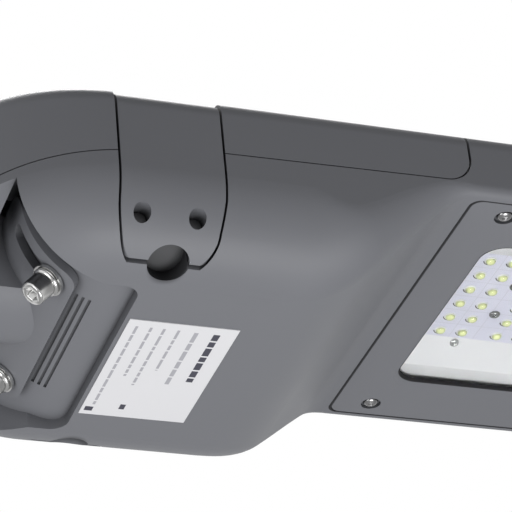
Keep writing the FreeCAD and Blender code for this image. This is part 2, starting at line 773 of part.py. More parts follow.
grooves = []
for index in range(3):
    angle = size.groove_first + index * size.groove_pitch
    groove = doc.addObject("Part::Box", "scale_groove_%d" % (index + 1))
    groove.Placement = FreeCAD.Placement(FreeCAD.Vector(), FreeCAD.Rotation(FreeCAD.Vector(0, 1, 0), 180))
    x, z = point_on_arc(size.seat_radius - size.groove_depth, angle)
    bind(groove, "Length", size.groove_width)
    bind(groove, "Width", 2 * size.groove_half)
    bind(groove, "Height", 2 * size.groove_depth)
    bind(groove, "Placement.Base.x", x)
    bind(groove, "Placement.Base.y", -size.groove_half)
    bind(groove, "Placement.Base.z", z)
    bind(groove, "Placement.Rotation.Angle", 180 + angle)
    grooves.append(groove)

gland_hole = spoke("gland_hole", size.gland_thread + size.thread_gap, size.gland_angle,
                   size.seat_radius - 2 * size.seat_wall, size.seat_radius + 1, as_size(0))

# Light module's room in the housing
frame_x = (size.frame_rear, size.frame_front)
room_x = (size.frame_rear - size.frame_gap, size.frame_front + size.frame_gap)
frame_room = slab(
    "frame_room", "XY",
    plate(room_x, size.frame_half + size.frame_gap, size.frame_rear_corner + size.frame_gap,
          size.frame_front_corner + size.frame_gap),
    -size.over, size.frame_wall,
)
cavity_x = (size.frame_rear + size.cavity_margin, size.frame_front - size.cavity_margin)
cavity_half = size.frame_half - size.cavity_margin
cavity_full = slab(
    "cavity_full", "XY",
    plate(cavity_x, cavity_half, size.frame_rear_corner, size.frame_front_corner - size.cavity_margin),
    as_size(0), size.cavity_top,
)
frame_screw_places = [
    (x, side * size.frame_screw_side)
    for x in (size.frame_screw_rear, size.frame_screw_front) for side in (-1, 1)
]
frame_bosses = []
for index, place in enumerate(frame_screw_places):
    name = "frame_boss_%d" % (index + 1)
    frame_bosses.append(rod(name, size.frame_screw_sink, "z", (size.frame_wall, size.cavity_top), place))
    holes.append(rod(name + "_hole", size.frame_screw_radius + size.thread_gap, "z",
                     (size.frame_wall - 1, size.frame_wall + size.screw_length), place))
cavity = cut("cavity", cavity_full, *frame_bosses)

# Well above the deck, with the fins left standing
deck_rear = size.cover_front + size.front_gap + size.rear_wall
fin_well_full = slab(
    "fin_well_full", "XY",
    plate((size.body_rear + size.well_rim, size.body_front - size.well_rim), size.half_width - size.well_rim,
          size.rear_corner - size.well_rim, size.front_corner - size.well_rim),
    size.deck_top, far_top,
)
fin_well_zone = block("fin_well_zone", (deck_rear, far_front), (-far_side, far_side), (as_size(0), far_top))
fins_a_side = int((size.half_width.value - size.well_rim.value - size.fin_wall.value) / size.fin_pitch.value)
fins = []
for index in range(2 * fins_a_side + 1):
    middle = (index - fins_a_side) * size.fin_pitch
    span = (middle - size.fin_wall / 2, middle + size.fin_wall / 2)
    fins.append(block("fin_%d" % (index + 1), (size.body_rear, far_front), span, (as_size(0), far_top + 1)))
fin_well = cut("fin_well", common("fin_well_blank", fin_well_full, fin_well_zone), group("fins", fins))

wells = group("housing_wells", [well_cut, frame_room, fin_well])
scoop_rooms = both_sides("scoop_rooms", scoop_room)
small_rooms = group("housing_small_rooms", [tunnel, cavity, scoop_rooms])
latch_openings = both_sides("latch_openings", latch_opening)
small_holes = group("housing_holes", [latch_openings, gland_hole, *holes, *grooves])
lower_housing = cut("lower_housing", solid, wells, small_rooms, small_holes)

# Cover

cover_shell = cut(
    "cover_shell", common("cover_solid", outer, zone),
    common("cover_hollow", cover_inner, block(
        "cover_hollow_zone", (size.body_rear - size.over, size.cover_front - size.cover_wall),
        (-far_side, far_side), (far_low, far_top),
    )),
)
pocket_x = (size.latch_rear - size.latch_gap, size.latch_front + size.latch_gap)
cheek_x = (pocket_x[0] - size.cheek_wall, pocket_x[1] + size.cheek_wall)
pocket_solid = block("latch_pocket_walls", cheek_x, (-far_side, size.pocket_wall - size.pocket_inner),
                     (size.pocket_floor, far_top))
pocket_room = block("latch_pocket_room", pocket_x, (-far_side, -size.pocket_inner), (far_low, far_top))
pin_hole = rod("pin_hole", size.pin_radius + size.thread_gap, "x",
               (cheek_x[0] - 1, cheek_x[1] + 1), (-size.pin_side, size.pin_height))
walls = common("cover_walls", outer, zone, union("cover_inside", common("cover_rib_inside", cover_rib, outer),
               both_sides("latch_pockets", pocket_solid)))
tube_notch = rod("tube_notch", size.tunnel_radius + size.seam_gap, "x",
                 (size.body_rear - size.over, size.tunnel_front), (0, 0))
cover = cut(
    "top_cover", union("cover_blank", cover_shell, walls), both_sides("latch_pocket_rooms", pocket_room),
    both_sides("pin_holes", pin_hole), tube_notch,
)
latch_pins = both_sides("latch_pins", rod("latch_pin", size.pin_radius, "x", cheek_x,
                                          (-size.pin_side, size.pin_height)))

# Latch

knuckle_radius = size.half_width - size.pin_side
inner_round = size.under_round - size.latch_wall
end_y = under_reach
end_z = under_middle - size.under_round * sine(size.latch_end)
latch_section = [
    (-size.half_width, size.pin_height),
    (-size.half_width, under_middle),
    (-end_y, end_z, size.under_round),
    (-(latch_inner_side + inner_round * cosine(size.latch_end)),
     under_middle - inner_round * sine(size.latch_end)),
    (size.latch_wall - size.half_width, under_middle, -inner_round),
    (size.latch_wall - size.half_width, size.pin_height),
]
latch_span = (size.latch_rear, size.latch_front)
latch_sheet = slab("latch_sheet", "YZ", latch_section, *latch_span)
knuckle = rod("latch_knuckle", knuckle_radius, "x", latch_span, (-size.pin_side, size.pin_height))
hole_places = [(x, -size.latch_hole_low) for x in (size.latch_hole_first, size.latch_hole_second)]
hole_face = latch_inner_side + size.under_round * 0.87
hole_floor = hole_face - size.latch_hole_depth
latch_outer = slab("latch_outer", "YZ", [
    (-size.half_width, size.pin_height + knuckle_radius),
    (-size.half_width, under_middle),
    (-end_y, end_z, size.under_round),
    (as_size(0), end_z),
    (as_size(0), size.pin_height + knuckle_radius),
], *latch_span)
screw_bosses = [
    rod("latch_boss_%d" % (index + 1), size.latch_boss, "y", (-far_side, -hole_floor + size.latch_wall), place)
    for index, place in enumerate(hole_places)
]
screw_rooms = [
    rod("latch_hole_%d" % (index + 1), size.latch_hole, "y", (-far_side, -hole_floor), place)
    for index, place in enumerate(hole_places)
]
screw_holes = [
    rod("latch_screw_hole_%d" % (index + 1), size.catch_screw + size.thread_gap, "y",
        (-far_side, size.over - hole_floor), place)
    for index, place in enumerate(hole_places)
]
latch_blank = union("latch_blank", latch_sheet, knuckle,
                    common("latch_bosses", union("latch_boss_rods", *screw_bosses), latch_outer))
latch_trim = slab("latch_trim", "XZ", latch_outline(as_size(0)), -far_side, as_size(0))
latch_near = cut(
    "latch_near", common("latch_trimmed", latch_blank, latch_trim), scoop_room, *screw_rooms, *screw_holes,
    rod("latch_pin_hole", size.pin_radius + size.thread_gap, "x",
        (size.latch_rear - 1, size.latch_front + 1), (-size.pin_side, size.pin_height)),
)

catch_face = hole_floor - size.latch_wall
catch_near = cut(
    "catch_spring_near",
    block("catch_sheet", (size.catch_rear, size.catch_front),
          (-catch_face, size.catch_wall - catch_face), (-size.catch_bottom, -size.catch_top)),
    *[
        rod("catch_hole_%d" % (index + 1), size.catch_screw + size.thread_gap, "y",
            (-far_side, as_size(0)), place)
        for index, place in enumerate(hole_places)
    ],
)
catch_screws = []
for index, place in enumerate(hole_places):
    name = "catch_screw_%d" % (index + 1)
    shank = rod(name + "_shank", size.catch_screw, "y", (-hole_floor, size.catch_wall - catch_face), place)
    head = rod(name + "_head", size.catch_screw_head, "y",
               (-hole_floor - size.catch_screw_head_length, -hole_floor), place)
    catch_screws.append(union(name, shank, head))
catch_screws_near = group("catch_screws_near", catch_screws)
latch_far = mirrored("latch_far", latch_near)
catch_far = mirrored("catch_spring_far", catch_near)
catch_screws_far = mirrored("catch_screws_far", catch_screws_near)

# Pole adapter

flange_inner = size.seat_radius + size.flange_gap
flange_outer = flange_inner + size.flange_wall


def sector(name, inner_radius, outer_radius, start, finish, low, high):
    """Curved plate round the tilt axis between two angles."""
    outline = [
        (*point_on_arc(outer_radius, start),),
        (*point_on_arc(outer_radius, finish), -outer_radius),
        (*point_on_arc(inner_radius, finish),),
        (*point_on_arc(inner_radius, start), inner_radius),
    ]
    return slab(name, "XZ", outline, low, high)


flange_sheet = sector("flange_sheet", flange_inner, flange_outer, size.flange_start, size.flange_end,
                      -size.flange_half, size.flange_half)
doc.recompute()
corner_edges = []
for number, edge in enumerate(flange_sheet.Shape.Edges, 1):
    room = edge.BoundBox
    if room.YLength < 0.001 and edge.Length < size.flange_wall.value + 0.001:
        corner = size.flange_corner if room.ZMax < 0 else size.flange_shoulder
        corner_edges.append((number, corner.value, corner.value))
flange = doc.addObject("Part::Fillet", "flange")
flange.Base = flange_sheet
flange.Edges = corner_edges
tube_end = size.socket_length + size.stop_length
tube = rod("tube", size.tube_radius, "x", (as_size(0), tube_end), (0, 0))
tube_taper = taper("tube_taper", size.tube_radius, size.neck_half, (tube_end, tube_end + size.neck_taper))
neck = common(
    "neck", rod("neck_rod", size.tube_radius, "x", (size.socket_length, size.tilt_place), (0, 0)),
    block("neck_limit", (size.socket_length, size.tilt_place), (-size.neck_half, size.neck_half),
          (far_low, size.neck_top)),
)
collar = rod("collar", size.collar_radius, "x", (as_size(0), size.collar_length), (0, 0))
clamp_places = [size.clamp_first + index * size.clamp_pitch for index in range(2)]
clamp_bosses = [
    rod("clamp_boss_%d" % (index + 1), size.clamp_boss, "z", (-size.clamp_boss_depth, as_size(0)), (x, 0))
    for index, x in enumerate(clamp_places)
]
clamp_holes = [
    rod("clamp_hole_%d" % (index + 1), size.bolt_radius + size.thread_gap, "z",
        (-(size.clamp_boss_depth + 1), as_size(0)), (x, 0))
    for index, x in enumerate(clamp_places)
]
bore = rod("bore", size.bore_radius, "x", (-size.over, size.socket_length), (0, 0))
passage_half = size.neck_half - size.neck_wall
passage = common(
    "cable_passage",
    rod("passage_rod", size.passage_radius, "x", (size.socket_length, size.tilt_place), (0, 0)),
    block("passage_limit", (size.socket_length, size.tilt_place), (-passage_half, passage_half),
          (far_low, size.neck_top + 1)),
)
slots = []
for index, side in enumerate((-1, 1)):
    middle = side * size.bolt_side
    name = "slot_%d" % (index + 1)
    start = size.bolt_angle - 1
    finish = start + size.slot_travel
    slots.append(sector(name, flange_inner - 2, flange_outer + 2, start, finish,
                        middle - size.slot_half, middle + size.slot_half))
    slots.append(spoke(name + "_start", size.slot_half, start, flange_inner - 2, flange_outer + 2, middle))
    slots.append(spoke(name + "_finish", size.slot_half, finish, flange_inner - 2, flange_outer + 2, middle))
pole_adapter = cut(
    "pole_adapter", union("adapter_solid", flange, tube, tube_taper, neck, collar, *clamp_bosses),
    tilt_drum("seat_clearance", flange_inner, far_side), bore, passage, *slots, *clamp_holes,
)
clamp_screws = []
for index, x in enumerate(clamp_places):
    name = "clamp_screw_%d" % (index + 1)
    shank = rod(name + "_shank", size.bolt_radius, "z",
                (-size.clamp_boss_depth - size.cover_wall, -(size.bore_radius + size.part_gap)), (x, 0))
    head = rod(name + "_head", size.clamp_head, "z",
               (-size.clamp_boss_depth - size.cover_wall - size.clamp_head_length,
                -size.clamp_boss_depth - size.cover_wall), (x, 0))
    clamp_screws.append(union(name, shank, head))
pole_clamp_screws = group("pole_clamp_screws", clamp_screws)

# Tilt bolts and their washers, carried by the seat

washer_base = flange_outer + size.part_gap
spring_base = washer_base + size.washer_thickness
head_base = spring_base + size.spring_thickness
bolt_set = []
flat_set = []
spring_set = []
for index, side in enumerate((-1, 1)):
    place = side * size.bolt_side
    angle = size.bolt_angle
    name = "tilt_bolt_%d" % (index + 1)
    bolt_end = size.bolt_boss_end + size.cover_wall + size.seam_gap
    shank = spoke(name + "_shank", size.bolt_radius, angle, bolt_end, head_base, place)
    head = spoke(name + "_head", size.bolt_head, angle, head_base, head_base + size.bolt_head_length, place)
    hexagon = spoke(name + "_hexagon", size.hex_half / cosine(30), angle,
                    head_base + size.bolt_head_length - size.hex_depth,
                    head_base + size.bolt_head_length + 1, place, sides=6)
    bolt_set.append(cut(name, union(name + "_blank", shank, head), hexagon))
    for washers, title, radius, base, thickness in (
        (flat_set, "flat_washer", size.washer_radius, washer_base, size.washer_thickness),
        (spring_set, "spring_washer", size.spring_radius, spring_base, size.spring_thickness),
    ):
        disc = spoke("%s_%d_disc" % (title, index + 1), radius, angle, base, base + thickness, place)
        hole = spoke("%s_%d_hole" % (title, index + 1), size.bolt_radius + size.thread_gap, angle,
                     base - 1, base + thickness + 1, place)
        washers.append(cut("%s_%d" % (title, index + 1), disc, hole))
tilt_bolts = group("tilt_bolts", bolt_set)
flat_washers = group("flat_washers", flat_set)
spring_washers = group("spring_washers", spring_set)

# Cable gland on the seat

gland_base = size.seat_radius
seat_inner = size.seat_radius - size.seat_wall
gland_inside = root(seat_inner * seat_inner - size.gland_radius * size.gland_radius) - size.thread_gap
gland_blank = union(
    "gland_blank",
    spoke("gland_thread", size.gland_thread, size.gland_angle, gland_inside, gland_base + 1, as_size(0)),
    spoke("gland_cap", size.gland_radius, size.gland_angle, gland_base, gland_base + size.gland_length,
          as_size(0), sides=6),
    spoke("gland_nut", size.gland_radius, size.gland_angle, gland_inside - size.gland_nut, gland_inside,
          as_size(0), sides=6),
)
cable_gland = cut("cable_gland", gland_blank, spoke(
    "gland_bore", size.gland_bore, size.gland_angle, gland_inside - size.gland_nut - 1,
    gland_base + size.gland_length + 1, as_size(0),
))

# Light module

window_x = (size.window_rear, size.window_front)
window = slab("window", "XY", plate(window_x, size.window_half, size.window_corner, size.window_corner),
              -size.over, size.frame_wall + 1)
frame_blank = slab(
    "frame_blank", "XY",
    plate(frame_x, size.frame_half, size.frame_rear_corner, size.frame_front_corner), as_size(0), size.frame_wall,
)
sinks = []
frame_screws_set = []
for index, place in enumerate(frame_screw_places):
    name = "frame_screw_%d" % (index + 1)
    sinks.append(rod(name + "_sink", size.frame_screw_sink, "z", (-size.over, size.frame_screw_sink_depth), place))
    sinks.append(rod(name + "_hole", size.frame_screw_radius + size.thread_gap, "z",
                     (-size.over, size.frame_wall + 1), place))
    shank = rod(name + "_shank", size.frame_screw_radius, "z",
                (size.frame_screw_sink_depth, size.frame_wall + size.screw_length - 1), place)
    head = rod(name + "_head", size.frame_screw_head, "z",
               (size.frame_screw_sink_depth - size.screw_head_length, size.frame_screw_sink_depth), place)
    frame_screws_set.append(union(name, shank, head))
led_frame = cut("led_frame", frame_blank, window, *sinks)
frame_screws = group("frame_screws", frame_screws_set)

glass_x = (size.window_rear - size.glass_margin, size.window_front + size.glass_margin)
glass_half = size.window_half + size.glass_margin
glass_corner = size.window_corner + size.glass_margin
glass_top = size.frame_wall + size.glass_wall
front_glass = slab("front_glass", "XY", plate(glass_x, glass_half, glass_corner, glass_corner),
                   size.frame_wall, glass_top)
gasket_x = (glass_x[0] - size.seal_wall, glass_x[1] + size.seal_wall)
reflector_low = glass_top + size.part_gap
glass_gasket = cut(
    "glass_gasket",
    slab("glass_gasket_full", "XY",
         plate(gasket_x, glass_half + size.seal_wall, glass_corner + size.seal_wall,
               glass_corner + size.seal_wall),
         size.frame_wall, reflector_low),
    slab("glass_gasket_room", "XY", plate(glass_x, glass_half, glass_corner, glass_corner),
         size.frame_wall - 1, reflector_low + 1),
)
board_low = size.cavity_top - size.board_wall
reflector_top = board_low


def slope_room(name, grow):
    """Room inside the reflector's slopes, or round their sheet when grown."""
    sketches = []
    for end, x, half, height in (
        ("low", (size.reflector_rear, size.reflector_front), size.reflector_half, reflector_low),
        ("high", (size.floor_rear, size.floor_front), size.floor_half, reflector_top),
    ):
        sketch = doc.addObject("Sketcher::SketchObject", name + "_" + end)
        bind(sketch, "Placement.Base.z", height)
        draw(sketch, rectangle((x[0] - grow, x[1] + grow), (-half - grow, half + grow)))
        sketches.append(sketch)
    loft = doc.addObject("Part::Loft", name)
    loft.Sections = sketches
    loft.Solid = True
    loft.Ruled = True
    return loft


reflector_flange = slab(
    "reflector_flange", "XY", plate(gasket_x, glass_half + size.seal_wall, glass_corner + size.seal_wall,
                                    glass_corner + size.seal_wall),
    reflector_low, reflector_low + size.reflector_sheet,
)
reflector = cut("reflector", union("reflector_blank", reflector_flange, slope_room("reflector_outside",
                size.reflector_sheet)), slope_room("reflector_inside", as_size(0)))
board_x = (size.floor_rear - size.board_margin, size.floor_front + size.board_margin)
board_half = size.floor_half + size.board_margin
board_screw_places = [
    (size.led_first + size.led_pair + (size.led_pitch - size.led_pair) / 2 + index * 2 * size.led_pitch,
     side * size.led_row)
    for index in range(2) for side in (-1, 1)
]
board_holes = [
    rod("board_hole_%d" % (index + 1), size.screw_radius + size.thread_gap, "z",
        (board_low - 1, size.cavity_top + 1), place)
    for index, place in enumerate(board_screw_places)
]
led_board = cut("led_board", block("board_sheet", board_x, (-board_half, board_half),
                                   (board_low, size.cavity_top)), *board_holes)
led_boxes = []
for column in range(8):
    x = size.led_first + (column // 2) * size.led_pitch + (column % 2) * size.led_pair
    for line in range(6):
        y = (line - 2.5) * size.led_row
        reach = size.led_size / 2
        led_boxes.append(block("led_%d_%d" % (column + 1, line + 1), (x - reach, x + reach),
                               (y - reach, y + reach), (board_low - size.led_height, board_low)))
leds = group("leds", led_boxes)
board_screws = group("board_screws", [
    rod("board_screw_%d" % (index + 1), size.board_screw, "z",
        (board_low - size.board_screw_height, board_low), place)
    for index, place in enumerate(board_screw_places)
])

# Gear in the chamber

tray_top = size.tray_wall - size.tray_low
tray_holes = [
    rod("tray_hole_%d" % (index + 1), size.screw_radius + size.thread_gap, "z",
        (-size.tray_low - 1, tray_top + 1), place)
    for index, place in enumerate(post_places)
]
driver_screw_places = [
    (x, side * (size.driver_half + size.driver_foot / 2))
    for x in (size.driver_rear + size.driver_screw_inset, size.driver_front - size.driver_screw_inset)
    for side in (-1, 1)
]
foot_top = tray_top + size.driver_foot_wall
driver_screw_holes = [
    rod("driver_screw_hole_%d" % (index + 1), size.screw_radius + size.thread_gap, "z",
        (-size.tray_low - 1, foot_top + 1), place)
    for index, place in enumerate(driver_screw_places)
]
gear_tray = cut("gear_tray", block("tray_sheet", (size.tray_rear, size.tray_front),
                                   (-size.tray_half, size.tray_half), (-size.tray_low, tray_top)),
                *tray_holes, *driver_screw_holes)


def small_screw(name, place, seat, length):
    """Round-headed screw that stands in a seat and points down."""
    shank = rod(name + "_shank", size.screw_radius, "z", (seat - length, seat), place)
    head = rod(name + "_head", size.screw_head, "z", (seat, seat + size.screw_head_length), place)
    return union(name, shank, head)


tray_screws = group("tray_screws", [
    small_screw("tray_screw_%d" % (index + 1), place, tray_top, size.screw_length)
    for index, place in enumerate(post_places)
])
driver_case = block("driver_case", (size.driver_rear, size.driver_front),
                    (-size.driver_half, size.driver_half), (tray_top, tray_top + size.driver_height))
driver_reach = size.driver_half + size.driver_foot
driver_feet = block("driver_feet", (size.driver_rear, size.driver_front),
                    (-driver_reach, driver_reach), (tray_top, foot_top))
driver = cut("driver", union("driver_blank", driver_case, driver_feet), *driver_screw_holes)
driver_screws = group("driver_screws", [
    small_screw("driver_screw_%d" % (index + 1), place, foot_top, size.driver_screw_length)
    for index, place in enumerate(driver_screw_places)
])
terminal_front = size.terminal_rear + size.terminal_width
terminal_parts = [block("terminal_base", (size.terminal_rear, terminal_front),
                        (-size.terminal_start, 5 * size.terminal_pole - size.terminal_start),
                        (tray_top, tray_top + size.terminal_height))]
terminal_rooms = [
    block("terminal_room_%d" % (index + 1), (size.terminal_rear + 3, terminal_front - 3),
          (index * size.terminal_pole - size.terminal_start + 1.5,
           (index + 1) * size.terminal_pole - size.terminal_start - 1.5),
          (tray_top + size.terminal_height - 4, tray_top + size.terminal_height + 1))
    for index in range(5)
]
terminal_block = cut("terminal_block", terminal_parts[0], *terminal_rooms)
surge_protector = block("surge_protector", (size.surge_rear, size.surge_rear + size.surge_length),
                        (size.surge_start, size.surge_start + size.surge_width),
                        (tray_top, tray_top + size.surge_height))
rating_label = block("rating_label", (size.label_rear, size.label_rear + size.label_length),
                     (-size.label_near, size.label_far),
                     (-(size.driver_depth + size.label_wall), -size.driver_depth))

# Check and write

SUB_PARTS = [
    pole_adapter, pole_clamp_screws, lower_housing, cover_gasket, tilt_bolts, flat_washers, spring_washers,
    cable_gland, led_frame, frame_screws, front_glass, glass_gasket, reflector, led_board, leds, board_screws,
    gear_tray, tray_screws, driver, driver_screws, terminal_block, surge_protector, rating_label, cover, latch_pins,
    latch_near, catch_near, catch_screws_near, latch_far, catch_far, catch_screws_far,
]
doc.recompute()
faults = [item.Name for item in doc.Objects if "Invalid" in item.State or "Error" in item.State]
if faults:
    raise RuntimeError("failed objects: " + ", ".join(faults))
for item in SUB_PARTS:
    if item.Shape.isNull() or not item.Shape.isValid() or not item.Shape.Solids:
        raise RuntimeError("bad shape: " + item.Label)
os.makedirs("parts", exist_ok=True)
for item in SUB_PARTS:
    item.Shape.exportStep("parts/%s.step" % item.Label)
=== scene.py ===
import math
import random

import bmesh
import bpy
from mathutils import Matrix, Vector


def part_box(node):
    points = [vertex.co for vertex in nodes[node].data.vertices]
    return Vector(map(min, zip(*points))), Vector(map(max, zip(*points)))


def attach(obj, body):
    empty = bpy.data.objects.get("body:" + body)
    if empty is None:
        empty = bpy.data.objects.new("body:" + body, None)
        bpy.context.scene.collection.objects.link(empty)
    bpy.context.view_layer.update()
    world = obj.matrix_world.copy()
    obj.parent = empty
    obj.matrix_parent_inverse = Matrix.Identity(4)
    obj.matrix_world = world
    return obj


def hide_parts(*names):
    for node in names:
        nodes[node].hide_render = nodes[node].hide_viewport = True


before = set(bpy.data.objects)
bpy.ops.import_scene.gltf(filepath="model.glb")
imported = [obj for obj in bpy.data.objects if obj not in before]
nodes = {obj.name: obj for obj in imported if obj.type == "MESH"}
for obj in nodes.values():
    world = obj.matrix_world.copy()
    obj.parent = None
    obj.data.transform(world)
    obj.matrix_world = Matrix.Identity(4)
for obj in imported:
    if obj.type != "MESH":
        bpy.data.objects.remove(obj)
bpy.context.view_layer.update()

# Camera and studio
# The head hangs in the air and is seen from below and from its near side, as a fitter on the
# ground would see it through a long lens. The floor lies well below, and the backdrop is white.

camera_data = bpy.data.cameras.new("long_lens")
camera_data.sensor_width = 36
camera_data.lens = 191.5
camera_data.clip_start = 0.05
camera_data.clip_end = 20
camera = bpy.data.objects.new("photo_camera", camera_data)
bpy.context.scene.collection.objects.link(camera)
camera_place = Vector((-0.2178, -1.1005, -0.7339))
forward = Vector((0.314, 0.782, 0.539)).normalized()
image_down = Vector((0.109, 0.534, -0.838))
image_down = (image_down - image_down.dot(forward) * forward).normalized()
image_right = image_down.cross(forward)
camera_turn = Matrix((image_right, -image_down, -forward)).transposed().to_4x4()
camera.matrix_world = Matrix.Translation(camera_place) @ camera_turn
bpy.context.scene.camera = camera
bpy.context.scene.view_settings.view_transform = "Standard"

floor_mesh = bpy.data.meshes.new("studio_floor")
floor_reach = 8.0
floor_level = -2.6
floor_mesh.from_pydata(
    [
        (-floor_reach, -floor_reach, floor_level),
        (floor_reach, -floor_reach, floor_level),
        (floor_reach, floor_reach, floor_level),
        (-floor_reach, floor_reach, floor_level),
    ],
    [],
    [(0, 1, 2, 3)],
)
floor = bpy.data.objects.new("studio_floor", floor_mesh)
bpy.context.scene.collection.objects.link(floor)
floor_paint = bpy.data.materials.new("floor_paint")
floor_paint.use_nodes = True
floor_tree = floor_paint.node_tree
floor_shader = floor_tree.nodes["Principled BSDF"]
floor_shader.inputs["Base Color"].default_value = (0.8, 0.8, 0.8, 1)
floor_shader.inputs["Roughness"].default_value = 0.9
floor_shader.inputs["Emission Color"].default_value = (1, 1, 1, 1)
camera_ray = floor_tree.nodes.new("ShaderNodeLightPath")
floor_glow = floor_tree.nodes.new("ShaderNodeMath")
floor_glow.operation = "MULTIPLY"
floor_glow.inputs[1].default_value = 0.4
floor_tree.links.new(camera_ray.outputs["Is Camera Ray"], floor_glow.inputs[0])
floor_tree.links.new(floor_glow.outputs[0], floor_shader.inputs["Emission Strength"])
floor_mesh.materials.append(floor_paint)

world = bpy.data.worlds.new("studio_air")
bpy.context.scene.world = world
world.use_nodes = True
air = world.node_tree
air.nodes.clear()
soft_light = air.nodes.new("ShaderNodeBackground")
soft_light.inputs["Color"].default_value = (1, 1, 1, 1)
soft_light.inputs["Strength"].default_value = 0.2
white_backdrop = air.nodes.new("ShaderNodeBackground")
white_backdrop.inputs["Strength"].default_value = 1.0
white_backdrop.inputs["Color"].default_value = (1, 1, 1, 1)
ray = air.nodes.new("ShaderNodeLightPath")
seen = air.nodes.new("ShaderNodeMath")
seen.operation = "MAXIMUM"
air.links.new(ray.outputs["Is Camera Ray"], seen.inputs[0])
air.links.new(ray.outputs["Is Transmission Ray"], seen.inputs[1])
mirrored = air.nodes.new("ShaderNodeMath")
mirrored.operation = "MAXIMUM"
air.links.new(seen.outputs[0], mirrored.inputs[0])
air.links.new(ray.outputs["Is Glossy Ray"], mirrored.inputs[1])
pick = air.nodes.new("ShaderNodeMixShader")
air.links.new(mirrored.outputs[0], pick.inputs[0])
air.links.new(soft_light.outputs[0], pick.inputs[1])
air.links.new(white_backdrop.outputs[0], pick.inputs[2])
sky_end = air.nodes.new("ShaderNodeOutputWorld")
air.links.new(pick.outputs[0], sky_end.inputs[0])


def lamp(name, place, aim, width, power):
    """Square soft lamp that faces a point."""
    light = bpy.data.lights.new(name, "AREA")
    light.size = width
    light.energy = power
    item = bpy.data.objects.new(name, light)
    bpy.context.scene.collection.objects.link(item)
    item.location = place
    item.rotation_euler = (Vector(aim) - Vector(place)).to_track_quat("-Z", "Y").to_euler()


head_middle = (0.25, 0.0, 0.0)
lamp("low_key", (0.40, -0.56, -1.20), head_middle, 0.6, 7)
lamp("low_middle", (0.34, -0.36, -1.18), head_middle, 0.5, 4.5)
lamp("low_rear", (-1.2, -0.5, -0.95), head_middle, 0.9, 10)
lamp("overhead", (0.3, 3.0, 5.0), head_middle, 3.0, 250)

# Powder-coated castings
# The adapter, housing, cover, latches and frame are die-cast aluminium with one grey powder coat.
# The coat has a fine orange peel and varies slightly in tone. Its crevices and finger scoops are
# darkened with painted shade.


def start_group(name, inputs, outputs):
    """Empty shader group with its sockets and its two end nodes."""
    tree = bpy.data.node_groups.new(name, "ShaderNodeTree")
    for title, kind, value in inputs:
        socket = tree.interface.new_socket(title, in_out="INPUT", socket_type=kind)
        socket.default_value = value
    for title, kind in outputs:
        tree.interface.new_socket(title, in_out="OUTPUT", socket_type=kind)
    return tree, tree.nodes.new("NodeGroupInput"), tree.nodes.new("NodeGroupOutput")


def coat_group():
    """Tone, gloss and orange peel of a coated or moulded surface, with painted shade in its crevices."""
    tree, start, end = start_group(
        "coat_finish",
        [
            ("Tone", "NodeSocketColor", (0.5, 0.5, 0.5, 1)),
            ("Tone Change", "NodeSocketFloat", 0.06),
            ("Crevice Shade", "NodeSocketFloat", 1.0),
            ("Patch Scale", "NodeSocketFloat", 18.0),
            ("Roughness", "NodeSocketFloat", 0.45),
            ("Peel Scale", "NodeSocketFloat", 900.0),
            ("Peel Depth", "NodeSocketFloat", 0.00002),
        ],
        [("Color", "NodeSocketColor"), ("Roughness", "NodeSocketFloat"), ("Normal", "NodeSocketVector")],
    )
    place = tree.nodes.new("ShaderNodeTexCoord")
    patches = tree.nodes.new("ShaderNodeTexNoise")
    patches.inputs["Detail"].default_value = 3
    tree.links.new(place.outputs["Object"], patches.inputs["Vector"])
    tree.links.new(start.outputs["Patch Scale"], patches.inputs["Scale"])
    centred = tree.nodes.new("ShaderNodeMath")
    centred.operation = "SUBTRACT"
    centred.inputs[1].default_value = 0.5
    tree.links.new(patches.outputs["Fac"], centred.inputs[0])
    change = tree.nodes.new("ShaderNodeMath")
    change.operation = "MULTIPLY_ADD"
    change.inputs[2].default_value = 1
    tree.links.new(centred.outputs[0], change.inputs[0])
    tree.links.new(start.outputs["Tone Change"], change.inputs[1])
    tint = tree.nodes.new("ShaderNodeVectorMath")
    tint.operation = "SCALE"
    tree.links.new(start.outputs["Tone"], tint.inputs[0])
    tree.links.new(change.outputs[0], tint.inputs["Scale"])
    # Painted shade: ambient occlusion darkens the tone in crevices and hollows.
    open_air = tree.nodes.new("ShaderNodeAmbientOcclusion")
    open_air.samples = 8
    open_air.inputs["Distance"].default_value = 0.012
    painted_crevice_shade = tree.nodes.new("ShaderNodeMapRange")
    painted_crevice_shade.inputs["From Min"].default_value = 0.25
    painted_crevice_shade.inputs["From Max"].default_value = 0.9
    painted_crevice_shade.inputs["To Max"].default_value = 1
    tree.links.new(open_air.outputs["AO"], painted_crevice_shade.inputs["Value"])
    tree.links.new(start.outputs["Crevice Shade"], painted_crevice_shade.inputs["To Min"])
    crevice_shaded = tree.nodes.new("ShaderNodeVectorMath")
    crevice_shaded.operation = "SCALE"
    tree.links.new(tint.outputs[0], crevice_shaded.inputs[0])
    tree.links.new(painted_crevice_shade.outputs["Result"], crevice_shaded.inputs["Scale"])
    tree.links.new(crevice_shaded.outputs[0], end.inputs["Color"])
    gloss = tree.nodes.new("ShaderNodeMath")
    gloss.operation = "MULTIPLY_ADD"
    gloss.inputs[1].default_value = 0.08
    tree.links.new(centred.outputs[0], gloss.inputs[0])
    tree.links.new(start.outputs["Roughness"], gloss.inputs[2])
    tree.links.new(gloss.outputs[0], end.inputs["Roughness"])
    peel = tree.nodes.new("ShaderNodeTexNoise")
    peel.inputs["Detail"].default_value = 2
    tree.links.new(place.outputs["Object"], peel.inputs["Vector"])
    tree.links.new(start.outputs["Peel Scale"], peel.inputs["Scale"])
    bump = tree.nodes.new("ShaderNodeBump")
    bump.inputs["Strength"].default_value = 0.5
    tree.links.new(start.outputs["Peel Depth"], bump.inputs["Distance"])
    tree.links.new(peel.outputs["Fac"], bump.inputs["Height"])
    tree.links.new(bump.outputs[0], end.inputs["Normal"])
    return tree


coat = coat_group()


